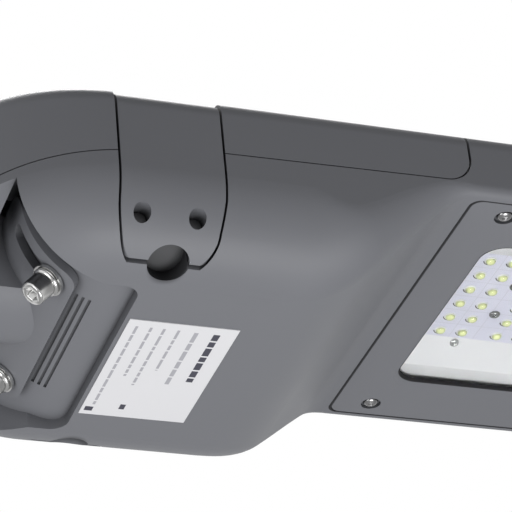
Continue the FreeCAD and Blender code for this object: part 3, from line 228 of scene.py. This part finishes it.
def coated(name, tone, roughness, metallic=0.0, change=0.06, peel=900.0, depth=0.00002, crevice_shade=1.0):
    """Material of one coated or moulded finish."""
    paint = bpy.data.materials.new(name)
    paint.use_nodes = True
    tree = paint.node_tree
    shader = tree.nodes["Principled BSDF"]
    shader.inputs["Metallic"].default_value = metallic
    finish = tree.nodes.new("ShaderNodeGroup")
    finish.name = "finish"
    finish.node_tree = coat
    finish.inputs["Tone"].default_value = (*tone, 1)
    finish.inputs["Tone Change"].default_value = change
    finish.inputs["Crevice Shade"].default_value = crevice_shade
    finish.inputs["Roughness"].default_value = roughness
    finish.inputs["Peel Scale"].default_value = peel
    finish.inputs["Peel Depth"].default_value = depth
    tree.links.new(finish.outputs["Color"], shader.inputs["Base Color"])
    tree.links.new(finish.outputs["Roughness"], shader.inputs["Roughness"])
    tree.links.new(finish.outputs["Normal"], shader.inputs["Normal"])
    return paint


def dress(material, *names):
    """Gives nodes of the frame one material."""
    for name in names:
        mesh = nodes[name].data
        mesh.materials.clear()
        mesh.materials.append(material)


# Painted shade: the powder coat is darkened to 0.38 of its tone in crevices.
powder = coated("grey_powder_coat", (0.156, 0.160, 0.175), 0.5, crevice_shade=0.38)
casting = powder.node_tree
casting_shader = casting.nodes["Principled BSDF"]
casting_shader.inputs["Specular IOR Level"].default_value = 0.3
# Painted shade: the coat darkens towards the hollow of each latch's finger scoop, on both sides.
scoop_end = (0.1445, 0.0815, -0.0356)
scoop_shade_inside = 0.0130
scoop_shade_outside = 0.0158
place = casting.nodes.new("ShaderNodeTexCoord")
parted = casting.nodes.new("ShaderNodeSeparateXYZ")
casting.links.new(place.outputs["Object"], parted.inputs[0])
off_middle = casting.nodes.new("ShaderNodeMath")
off_middle.operation = "ABSOLUTE"
casting.links.new(parted.outputs["Y"], off_middle.inputs[0])
either_side = casting.nodes.new("ShaderNodeCombineXYZ")
casting.links.new(parted.outputs["X"], either_side.inputs["X"])
casting.links.new(off_middle.outputs[0], either_side.inputs["Y"])
casting.links.new(parted.outputs["Z"], either_side.inputs["Z"])
from_scoop = casting.nodes.new("ShaderNodeVectorMath")
from_scoop.operation = "DISTANCE"
from_scoop.inputs[1].default_value = scoop_end
casting.links.new(either_side.outputs[0], from_scoop.inputs[0])
scoop_shade = casting.nodes.new("ShaderNodeMapRange")
scoop_shade.interpolation_type = "SMOOTHSTEP"
scoop_shade.inputs["From Min"].default_value = scoop_shade_inside
scoop_shade.inputs["From Max"].default_value = scoop_shade_outside
scoop_shade.inputs["To Min"].default_value = 0.34
scoop_shade.inputs["To Max"].default_value = 1
casting.links.new(from_scoop.outputs["Value"], scoop_shade.inputs["Value"])
scoop_shaded = casting.nodes.new("ShaderNodeVectorMath")
scoop_shaded.operation = "SCALE"
casting.links.new(casting.nodes["finish"].outputs["Color"], scoop_shaded.inputs[0])
casting.links.new(scoop_shade.outputs["Result"], scoop_shaded.inputs["Scale"])
casting.links.new(scoop_shaded.outputs[0], casting_shader.inputs["Base Color"])
dress(powder, "pole_adapter", "lower_housing", "top_cover", "latch_near", "latch_far")

# Bolts, washers, screws and springs
# All fasteners are stainless steel; the catch, frame and board screws take darker copies of it as
# painted shade. Knurled socket bolts sit over split and flat washers at the seat and stand bare at the
# clamp, and round-headed screws hold the rest.

steel = coated(
    "bright_stainless", (0.62, 0.62, 0.615), 0.22, metallic=1.0, change=0.15, peel=1500, depth=0.00001
)
dress(steel, "flat_washers", "latch_pins", "catch_spring_near", "catch_spring_far")
# Painted shade: the frame and board screws take a darker copy of the stainless steel.
shade_dimmed_steel = coated("shade_dimmed_steel", (0.34, 0.34, 0.345), 0.24, metallic=1.0, change=0.1)
# Painted shade: the catch screws take a near-black copy of the stainless steel.
shade_dark_steel = coated("shade_dark_steel", (0.12, 0.12, 0.125), 0.4, metallic=1.0)
dress(shade_dark_steel, "catch_screws_near", "catch_screws_far")


def turned(name, rings, steps=48):
    """Mesh turned about Z. A ring is (radius, height) or (radius, height, form), in mm."""
    shape = bmesh.new()
    loops = []
    for radius, height, *form in rings:
        loop = []
        for step in range(steps):
            angle = math.tau * step / steps
            reach = radius
            if form == ["hexagon"]:
                reach = radius / math.cos(angle % (math.pi / 3) - math.pi / 6)
            if form == ["cross"] and abs(math.cos(2 * angle)) < 0.8:
                reach = radius * 0.4
            if form == ["knurl"] and step % 2:
                reach = radius - 0.3
            point = (reach * math.cos(angle) / 1000, reach * math.sin(angle) / 1000, height / 1000)
            loop.append(shape.verts.new(point))
        loops.append(loop)
    for low, high in zip(loops, loops[1:]):
        for step in range(steps):
            after = (step + 1) % steps
            shape.faces.new((low[step], low[after], high[after], high[step]))
    shape.faces.new(list(reversed(loops[0])))
    shape.faces.new(loops[-1])
    for edge in shape.edges:
        edge.smooth = len(edge.link_faces) == 2 and edge.calc_face_angle(0) < 0.6
    for face in shape.faces:
        face.smooth = True
    mesh = bpy.data.meshes.new(name)
    shape.to_mesh(mesh)
    shape.free()
    return mesh


def repeat_tree():
    """Node tree that puts a part of some size on each point, turned alike, in one material."""
    tree = bpy.data.node_groups.new("part_on_points", "GeometryNodeTree")
    keys = {}
    for title, kind in (
        ("Points", "NodeSocketGeometry"),
        ("Part", "NodeSocketObject"),
        ("Part Size", "NodeSocketVector"),
        ("Turn", "NodeSocketVector"),
        ("Finish", "NodeSocketMaterial"),
    ):
        keys[title] = tree.interface.new_socket(title, in_out="INPUT", socket_type=kind).identifier
    tree.interface.new_socket("Geometry", in_out="OUTPUT", socket_type="NodeSocketGeometry")
    start = tree.nodes.new("NodeGroupInput")
    end = tree.nodes.new("NodeGroupOutput")
    part = tree.nodes.new("GeometryNodeObjectInfo")
    put = tree.nodes.new("GeometryNodeInstanceOnPoints")
    turn = tree.nodes.new("FunctionNodeEulerToRotation")
    whole = tree.nodes.new("GeometryNodeRealizeInstances")
    finish = tree.nodes.new("GeometryNodeSetMaterial")
    tree.links.new(start.outputs["Part"], part.inputs["Object"])
    tree.links.new(start.outputs["Points"], put.inputs["Points"])
    tree.links.new(part.outputs["Geometry"], put.inputs["Instance"])
    tree.links.new(start.outputs["Turn"], turn.inputs["Euler"])
    tree.links.new(turn.outputs["Rotation"], put.inputs["Rotation"])
    tree.links.new(start.outputs["Part Size"], put.inputs["Scale"])
    tree.links.new(put.outputs["Instances"], whole.inputs["Geometry"])
    tree.links.new(whole.outputs["Geometry"], finish.inputs["Geometry"])
    tree.links.new(start.outputs["Finish"], finish.inputs["Material"])
    tree.links.new(finish.outputs["Geometry"], end.inputs["Geometry"])
    return tree, keys


part_tree, part_keys = repeat_tree()


def repeated(name, mesh, places, body, material, turn=(0, 0, 0), scale=(1, 1, 1), stands_for=None):
    """One mesh with a copy of a part at each place, in metres."""
    part = bpy.data.objects.new(name + "_part", mesh)
    cloud = bpy.data.meshes.new(name)
    cloud.from_pydata(places, [], [])
    piece = bpy.data.objects.new(name, cloud)
    bpy.context.scene.collection.objects.link(piece)
    bpy.context.scene.collection.objects.link(part)
    nodes_step = piece.modifiers.new("copies", "NODES")
    nodes_step.node_group = part_tree
    nodes_step[part_keys["Part"]] = part
    nodes_step[part_keys["Part Size"]] = scale
    nodes_step[part_keys["Turn"]] = turn
    nodes_step[part_keys["Finish"]] = material
    done = piece.evaluated_get(bpy.context.evaluated_depsgraph_get())
    whole = bpy.data.meshes.new_from_object(done)
    piece.modifiers.remove(nodes_step)
    piece.data = whole
    whole.name = name
    bpy.data.objects.remove(part)
    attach(piece, body)
    if stands_for:
        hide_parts(stands_for)


def cap_screw(name, shank_end, head_base, head_top):
    """Socket-head bolt with a knurled head, with heights from its place."""
    return turned(name, [
        (3.4, shank_end),
        (3.95, shank_end + 0.6),
        (3.95, head_base),
        (6.2, head_base),
        (6.5, head_base + 0.3),
        (6.5, head_base + 0.7, "knurl"),
        (6.5, head_top - 1.4, "knurl"),
        (6.3, head_top - 1.1),
        (6.3, head_top - 0.5),
        (5.8, head_top),
        (3.5, head_top),
        (3.0, head_top - 0.3, "hexagon"),
        (3.0, head_top - 4.0, "hexagon"),
        (1.5, head_top - 4.6),
    ], 96)


bolt_turn = (0, math.radians(180 + 43.5), 0)
heads_down = (math.pi, 0, 0)
seat_x, seat_z = 0.135, 0.004
bolt_side = 0.0465
bolt_places = [(seat_x, side * bolt_side, seat_z) for side in (-1, 1)]
tilt_bolt = cap_screw("tilt_cap_bolt", 36.6, 57.1, 66.6)
repeated("tilt_cap_bolts", tilt_bolt, bolt_places, "head", steel,
         turn=bolt_turn, stands_for="tilt_bolts")
clamp_places = [(0.018, 0, 0), (0.045, 0, 0)]
clamp_screw = cap_screw("clamp_cap_screw", 31.3, 46.0, 52.0)
repeated("clamp_cap_screws", clamp_screw, clamp_places, "arm_adapter", steel,
         turn=heads_down, stands_for="pole_clamp_screws")


def split_washer(name, inner, outer, base, thickness):
    """Spring washer, cut through and risen slightly at the cut."""
    shape = bmesh.new()
    steps = 60
    full_rise = 0.5
    loops = []
    for step in range(steps + 1):
        angle = math.radians(8 + 344 * step / steps)
        low = base + full_rise * step / steps
        high = low + thickness - full_rise
        loop = []
        for radius, height in ((inner, low), (outer, low), (outer, high), (inner, high)):
            point = (radius * math.cos(angle) / 1000, radius * math.sin(angle) / 1000, height / 1000)
            loop.append(shape.verts.new(point))
        loops.append(loop)
    for back, front in zip(loops, loops[1:]):
        for corner in range(4):
            after = (corner + 1) % 4
            shape.faces.new((back[corner], back[after], front[after], front[corner]))
    shape.faces.new(list(reversed(loops[0])))
    shape.faces.new(loops[-1])
    bmesh.ops.recalc_face_normals(shape, faces=shape.faces)
    bmesh.ops.bevel(shape, geom=[edge for edge in shape.edges if edge.calc_face_angle(0) > 0.8],
                    offset=0.0002, segments=2, affect="EDGES")
    for face in shape.faces:
        face.smooth = True
    mesh = bpy.data.meshes.new(name)
    shape.to_mesh(mesh)
    shape.free()
    return mesh


spring_washer = split_washer("split_washer", 4.0, 7.6, 54.7, 2.4)
repeated("split_washers", spring_washer, bolt_places, "head", steel,
         turn=bolt_turn, stands_for="spring_washers")

socket_button = turned("socket_button", [
    (1.5, -11.2),
    (1.95, -10.8),
    (1.95, 0),
    (3.8, 0),
    (4.0, 0.2),
    (4.0, 0.8),
    (3.6, 1.5),
    (2.8, 2.0),
    (2.2, 2.2),
    (1.7, 2.2),
    (1.35, 2.0, "hexagon"),
    (1.35, 0.7, "hexagon"),
    (0.5, 0.4),
])
frame_screw_side = 0.0937
frame_screw_seat = 0.0018
frame_places = [
    (x, side * frame_screw_side, frame_screw_seat) for x in (0.3209, 0.4715) for side in (-1, 1)
]
repeated("frame_button_screws", socket_button, frame_places, "head", shade_dimmed_steel,
         turn=heads_down, stands_for="frame_screws")


def cross_pan(name, radius, height, length):
    """Pan-head screw with a cross recess; its seat is at height 0."""
    rings = [(radius * 0.45, -length), (radius * 0.54, 0.4 - length), (radius * 0.54, 0)] if length else []
    return turned(name, rings + [
        (radius * 0.96, 0),
        (radius, height * 0.15),
        (radius, height * 0.35),
        (radius * 0.9, height * 0.7),
        (radius * 0.7, height * 0.95),
        (radius * 0.6, height),
        (radius * 0.5, height * 0.97, "cross"),
        (radius * 0.3, height * 0.35, "cross"),
        (radius * 0.1, height * 0.25),
    ])


tray_places = [(x, side * 0.071, -0.0075) for x in (0.156, 0.254) for side in (-1, 1)]
tray_pan = cross_pan("tray_pan", 3.6, 2.2, 9.8)
repeated("tray_pan_screws", tray_pan, tray_places, "head", steel, stands_for="tray_screws")
foot_places = [(x, side * 0.066, -0.0055) for x in (0.198, 0.236) for side in (-1, 1)]
driver_pan = cross_pan("driver_pan", 3.6, 2.2, 6.0)
repeated("driver_pan_screws", driver_pan, foot_places, "head", steel, stands_for="driver_screws")

# Seals and the cable gland
# The cover and the glass bed on moulded seals of black silicone. The gland is a black nylon nut, and
# the surge protector's case is the same matt plastic.

rubber = coated("black_silicone", (0.018, 0.018, 0.02), 0.6)
rubber.node_tree.nodes["Principled BSDF"].inputs["Specular IOR Level"].default_value = 0.25
dress(rubber, "cover_gasket", "glass_gasket")
nylon = coated("black_nylon", (0.025, 0.025, 0.028), 0.45)
dress(nylon, "cable_gland", "surge_protector")

# Gear in the chamber
# The driver and the terminals stand on a tray of zinc-coated sheet that is screwed into the tub.
# Their cases are matt plastic, white for the driver and grey for the terminals.

zinc = coated("zinc_sheet", (0.5, 0.51, 0.52), 0.38, metallic=1.0, change=0.3)
dress(zinc, "gear_tray")
driver_shell = coated("driver_shell", (0.62, 0.62, 0.6), 0.5)
dress(driver_shell, "driver")
terminal_grey = coated("terminal_grey", (0.3, 0.3, 0.29), 0.5)
dress(terminal_grey, "terminal_block")

# Light frame
# A cast plate closes the light cavity. It is coated like the housing, bevelled along its window and
# held by four screws in sinks. A black ring round its edge is painted shade in the seam.

frame_edge = (0.3000, 0.4924, 0.1050, 0.006, 0.038)
window_edge = (0.3230, 0.4652, 0.0679, 0.013, 0.013)
frame_wall = 0.0032


def rounded_outline(edge, height, grow=(0, 0, 0), steps=12):
    """Points of a rectangle with round corners, in metres. It grows by (rear, front, side)."""
    rear, front, half, rear_corner, front_corner = edge
    rear, front, half = rear - grow[0], front + grow[1], half + grow[2]
    points = []
    for turn, radius, centre_x, centre_y in (
        (0, front_corner, front - front_corner, half - front_corner),
        (1, rear_corner, rear + rear_corner, half - rear_corner),
        (2, rear_corner, rear + rear_corner, rear_corner - half),
        (3, front_corner, front - front_corner, front_corner - half),
    ):
        for step in range(steps + 1):
            angle = math.pi / 2 * (turn + step / steps)
            x = centre_x + radius * math.cos(angle)
            y = centre_y + radius * math.sin(angle)
            points.append((x, y, height))
    return points


def lined_walls(shape, outlines, closed=False):
    """Walls from each outline of points to the next. It gives back the outlines' corners."""
    loops = [[shape.verts.new(point) for point in outline] for outline in outlines]
    nexts = loops[1:] + (loops[:1] if closed else [])
    for low, high in zip(loops, nexts):
        for step in range(len(low)):
            after = (step + 1) % len(low)
            shape.faces.new((low[step], low[after], high[after], high[step]))
    return loops


def filled(shape, loops):
    """Flat face that the first loop bounds and the others pierce."""
    edges = []
    for loop in loops:
        for step in range(len(loop)):
            edges.append(shape.edges.get((loop[step], loop[(step + 1) % len(loop)])))
    bmesh.ops.triangle_fill(shape, use_beauty=True, edges=edges)


def finished(shape, name, sharp):
    """Mesh with its faces turned outwards and its edges sharp above an angle."""
    bmesh.ops.recalc_face_normals(shape, faces=shape.faces)
    for face in shape.faces:
        face.smooth = True
    for edge in shape.edges:
        edge.smooth = edge.calc_face_angle(0) < sharp
    mesh = bpy.data.meshes.new(name)
    shape.to_mesh(mesh)
    shape.free()
    return mesh


def placed(name, mesh, material, body):
    """Piece of one mesh in one material that rides on a body."""
    mesh.materials.append(material)
    piece = bpy.data.objects.new(name, mesh)
    bpy.context.scene.collection.objects.link(piece)
    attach(piece, body)
    return piece


plate = bmesh.new()
outside = lined_walls(plate, [
    rounded_outline(frame_edge, 0, (-0.0003, -0.0003, -0.0003)),
    rounded_outline(frame_edge, 0.0003),
    rounded_outline(frame_edge, frame_wall),
])
opening = lined_walls(plate, [
    rounded_outline(window_edge, 0, (0.0004, 0.0004, 0.0055)),
    rounded_outline(window_edge, 0.0007),
    rounded_outline(window_edge, frame_wall),
])
sinks = []
sink_radius, hole_radius, sink_steps = 0.0055, 0.0021, 32
for middle_x, middle_y, seat in frame_places:
    rounds = []
    for radius, height in (
        (sink_radius, 0), (sink_radius, seat), (hole_radius, seat), (hole_radius, frame_wall),
    ):
        angles = [math.tau * step / sink_steps for step in range(sink_steps)]
        rounds.append([
            (middle_x + radius * math.cos(angle), middle_y + radius * math.sin(angle), height)
            for angle in angles
        ])
    sinks.append(lined_walls(plate, rounds))
filled(plate, [outside[0], opening[0]] + [sink[0] for sink in sinks])
filled(plate, [outside[-1], opening[-1]] + [sink[-1] for sink in sinks])
light_frame = placed("light_frame", finished(plate, "light_frame", 0.135), powder, "head")
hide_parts("led_frame")

# Painted shade: a black ring round the frame's edge stands in for the shaded seam.
seam_shade = bmesh.new()
lined_walls(seam_shade, [
    rounded_outline(frame_edge, height, (wide, thin, thin))
    for wide, thin, height in (
        (0.00005, 0.00005, 0.0004),
        (0.00005, 0.00005, -0.00005),
        (0.0004, 0.0002, -0.0002),
        (0.0010, 0.0006, -0.0002),
        (0.0014, 0.0008, -0.00005),
        (0.0014, 0.0008, 0.0004),
    )
], closed=True)
placed("frame_seal", finished(seam_shade, "frame_seal", 1.0), rubber, "head")

# Light module
# A satin white reflector tray stands over a white board with rows of domed LEDs. Clear toughened
# glass closes it, bedded in the frame on a black bead of sealant that lines the window.

reflector_white = coated("reflector_white", (0.76, 0.75, 0.77), 0.4, change=0.02)
dress(reflector_white, "reflector")

row_pitch = 0.0139
solder_mask = (0.70, 0.69, 0.80)
board_white = coated("board_white", solder_mask, 0.42, change=0.03)
mask = board_white.node_tree
place = mask.nodes.new("ShaderNodeTexCoord")
areas = mask.nodes.new("ShaderNodeTexBrick")
areas.offset = 0.0
areas.inputs["Scale"].default_value = 1.0
areas.inputs["Brick Width"].default_value = row_pitch
areas.inputs["Row Height"].default_value = row_pitch
areas.inputs["Mortar Size"].default_value = 0.0003
areas.inputs["Mortar Smooth"].default_value = 0.3
areas.inputs["Color1"].default_value = (*solder_mask, 1)
areas.inputs["Color2"].default_value = (0.69, 0.68, 0.79, 1)
areas.inputs["Mortar"].default_value = (0.62, 0.61, 0.70, 1)
mask.links.new(place.outputs["Object"], areas.inputs["Vector"])
mask.links.new(areas.outputs["Color"], mask.nodes["Principled BSDF"].inputs["Base Color"])
dress(board_white, "led_board")

glass = bpy.data.materials.new("clear_glass")
glass.use_nodes = True
pane = glass.node_tree.nodes["Principled BSDF"]
pane.inputs["Base Color"].default_value = (0.97, 0.985, 0.98, 1)
pane.inputs["Roughness"].default_value = 0.02
pane.inputs["Transmission Weight"].default_value = 1.0
pane.inputs["IOR"].default_value = 1.1
dress(glass, "front_glass")

bead = bmesh.new()
lined_walls(bead, [
    rounded_outline(window_edge, height, (-inset, -inset, -inset))
    for inset, height in (
        (0.00002, frame_wall),
        (0.00002, 0.0008),
        (0.0003, 0.0006),
        (0.0008, 0.0012),
        (0.0009, frame_wall),
    )
], closed=True)
placed("window_bead", finished(bead, "window_bead", 1.0), rubber, "head")

# LEDs
# Each LED is a round white ceramic base with a yellow phosphor disc under a clear silicone dome. A dark
# arc on the board at one side of its base is a painted shadow. They stand in pairs of columns, six in
# each.

first_column = 0.3403
pair_pitch = 0.033
column_pitch = 0.0128
board_face = 0.0155
led_places = []
for column in range(8):
    for line in range(6):
        x = first_column + (column // 2) * pair_pitch + (column % 2) * column_pitch
        led_places.append((x, (line - 2.5) * row_pitch, board_face))
ceramic = coated("led_ceramic", (0.86, 0.86, 0.84), 0.35, change=0.02)
phosphor = coated("led_phosphor", (0.88, 0.92, 0.52), 0.14, change=0.2, peel=4000)
# Painted shadow: near-black colour of the arc beside each LED base.
base_shadow_black = coated("painted_base_shadow", (0.03, 0.03, 0.035), 0.4)
dome = bpy.data.materials.new("silicone_dome")
dome.use_nodes = True
dome_shader = dome.node_tree.nodes["Principled BSDF"]
dome_shader.inputs["Base Color"].default_value = (1, 1, 1, 1)
dome_shader.inputs["Metallic"].default_value = 1.0
dome_shader.inputs["Roughness"].default_value = 0.05
dome_gloss = dome.node_tree.nodes.new("ShaderNodeFresnel")
dome_gloss.inputs["IOR"].default_value = 1.3
dome.node_tree.links.new(dome_gloss.outputs[0], dome_shader.inputs["Alpha"])
led_base = turned("led_base", [(3.2, 0), (3.2, 0.35), (3.05, 0.5)], 32)
repeated("led_bases", led_base, led_places, "head", ceramic,
         turn=heads_down, stands_for="leds")
led_phosphor = turned("led_phosphor", [(2.5, 0.45), (2.5, 0.8), (2.3, 1.3), (1.8, 1.7), (1.0, 1.95)], 32)
repeated("led_phosphors", led_phosphor, led_places, "head", phosphor, turn=heads_down)
dome_radius, dome_foot, dome_height = 2.65, 0.5, 1.9
dome_rings = [(dome_radius, dome_foot)]
for step in range(1, 9):
    climb = math.radians(step * 10.5)
    dome_rings.append((dome_radius * math.cos(climb), dome_foot + dome_height * math.sin(climb)))
led_dome = turned("led_dome", dome_rings, 32)
repeated("led_domes", led_dome, led_places, "head", dome, turn=heads_down)
# Painted shadow: a dark arc on the board at one side of each LED base stands in for the base's shadow.
mark = bmesh.new()
mark_loops = []
mark_inner, mark_outer, mark_height = 3.25, 3.8, 0.35
for step in range(11):
    angle = math.radians(80 + 8 * step)
    loop = []
    for radius, height in (
        (mark_inner, 0), (mark_inner, mark_height), (mark_outer, mark_height), (mark_outer, 0),
    ):
        point = (radius * math.cos(angle) / 1000, radius * math.sin(angle) / 1000, -height / 1000)
        loop.append(mark.verts.new(point))
    mark_loops.append(loop)
for back, front in zip(mark_loops, mark_loops[1:]):
    for corner in range(4):
        after = (corner + 1) % 4
        mark.faces.new((back[corner], back[after], front[after], front[corner]))
mark.faces.new(list(reversed(mark_loops[0])))
mark.faces.new(mark_loops[-1])
bmesh.ops.recalc_face_normals(mark, faces=mark.faces)
mark_mesh = bpy.data.meshes.new("led_mark")
mark.to_mesh(mark_mesh)
mark.free()
repeated("led_marks", mark_mesh, led_places, "head", base_shadow_black)

# Board and reflector screws
# Four cross screws hold the LED board, and four smaller ones hold the reflector tray. The heads of
# these lean with the tray's sloping sides, two on each side.

board_screw_places = [
    (0.3632 + index * 0.066, side * row_pitch, board_face) for index in range(2) for side in (-1, 1)
]
board_pan = cross_pan("board_pan", 3.0, 1.7, 0)
repeated("board_pan_screws", board_pan, board_screw_places, "head", shade_dimmed_steel,
         turn=heads_down, stands_for="board_screws")

reflector_lean = math.radians(18)
reflector_pan = cross_pan("reflector_pan", 2.7, 1.5, 0)
for side, name in ((-1, "reflector_screws_near"), (1, "reflector_screws_far")):
    places = [(x, side * 0.0443, 0.0146) for x in (0.3520, 0.4404)]
    repeated(name, reflector_pan, places, "head", steel,
             turn=(math.pi - side * reflector_lean, 0, 0))

# Rating label
# A matt white film is glued under the driver part. Plain dark and grey bars run across it, with two
# dark blocks at its far edge.

film = coated("label_film", (0.66, 0.66, 0.68), 0.5, change=0.02)
dress(film, "rating_label")
heading_ink = coated("heading_ink", (0.05, 0.05, 0.07), 0.6)
fine_ink = coated("fine_ink", (0.36, 0.36, 0.39), 0.6)
label_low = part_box("rating_label")[0]
ink_depth = 0.00004
random.seed(7)


def printed(name, bars, material):
    """Piece of thin printed bars, each (middle x, width in x, start y, end y)."""
    sheet = bmesh.new()
    for middle_x, width, start, finish in bars:
        made = bmesh.ops.create_cube(sheet, size=1)["verts"]
        middle = (middle_x, (start + finish) / 2, label_low[2] - ink_depth / 2)
        bmesh.ops.scale(sheet, vec=(width, finish - start, ink_depth), verts=made)
        bmesh.ops.translate(sheet, vec=middle, verts=made)
    mesh = bpy.data.meshes.new(name)
    sheet.to_mesh(mesh)
    sheet.free()
    placed(name, mesh, material, "head")


def broken_line(middle_x, width, start, finish, shortest, longest):
    """Bars of one broken line along Y."""
    bar_gap = 0.0013
    bars = []
    while start < finish:
        end = min(start + random.uniform(shortest, longest), finish)
        bars.append((middle_x, width, start, end))
        start = end + bar_gap
    return bars


heading = broken_line(0.1853, 0.0034, -0.036, 0.010, 0.004, 0.009)
dark_blocks = [(0.1430, 0.0042, 0.0425, 0.0465), (0.1594, 0.0028, 0.0376, 0.0424)]
printed("label_heading", heading + dark_blocks, heading_ink)
fine_lines = broken_line(0.1748, 0.0022, -0.036, 0.014, 0.006, 0.012)
for middle_x, finish in ((0.1657, 0.002), (0.1583, 0.018), (0.1517, 0.010), (0.1444, 0.040)):
    fine_lines += broken_line(middle_x, 0.0014, -0.0365, finish, 0.003, 0.009)
printed("label_lines", fine_lines, fine_ink)
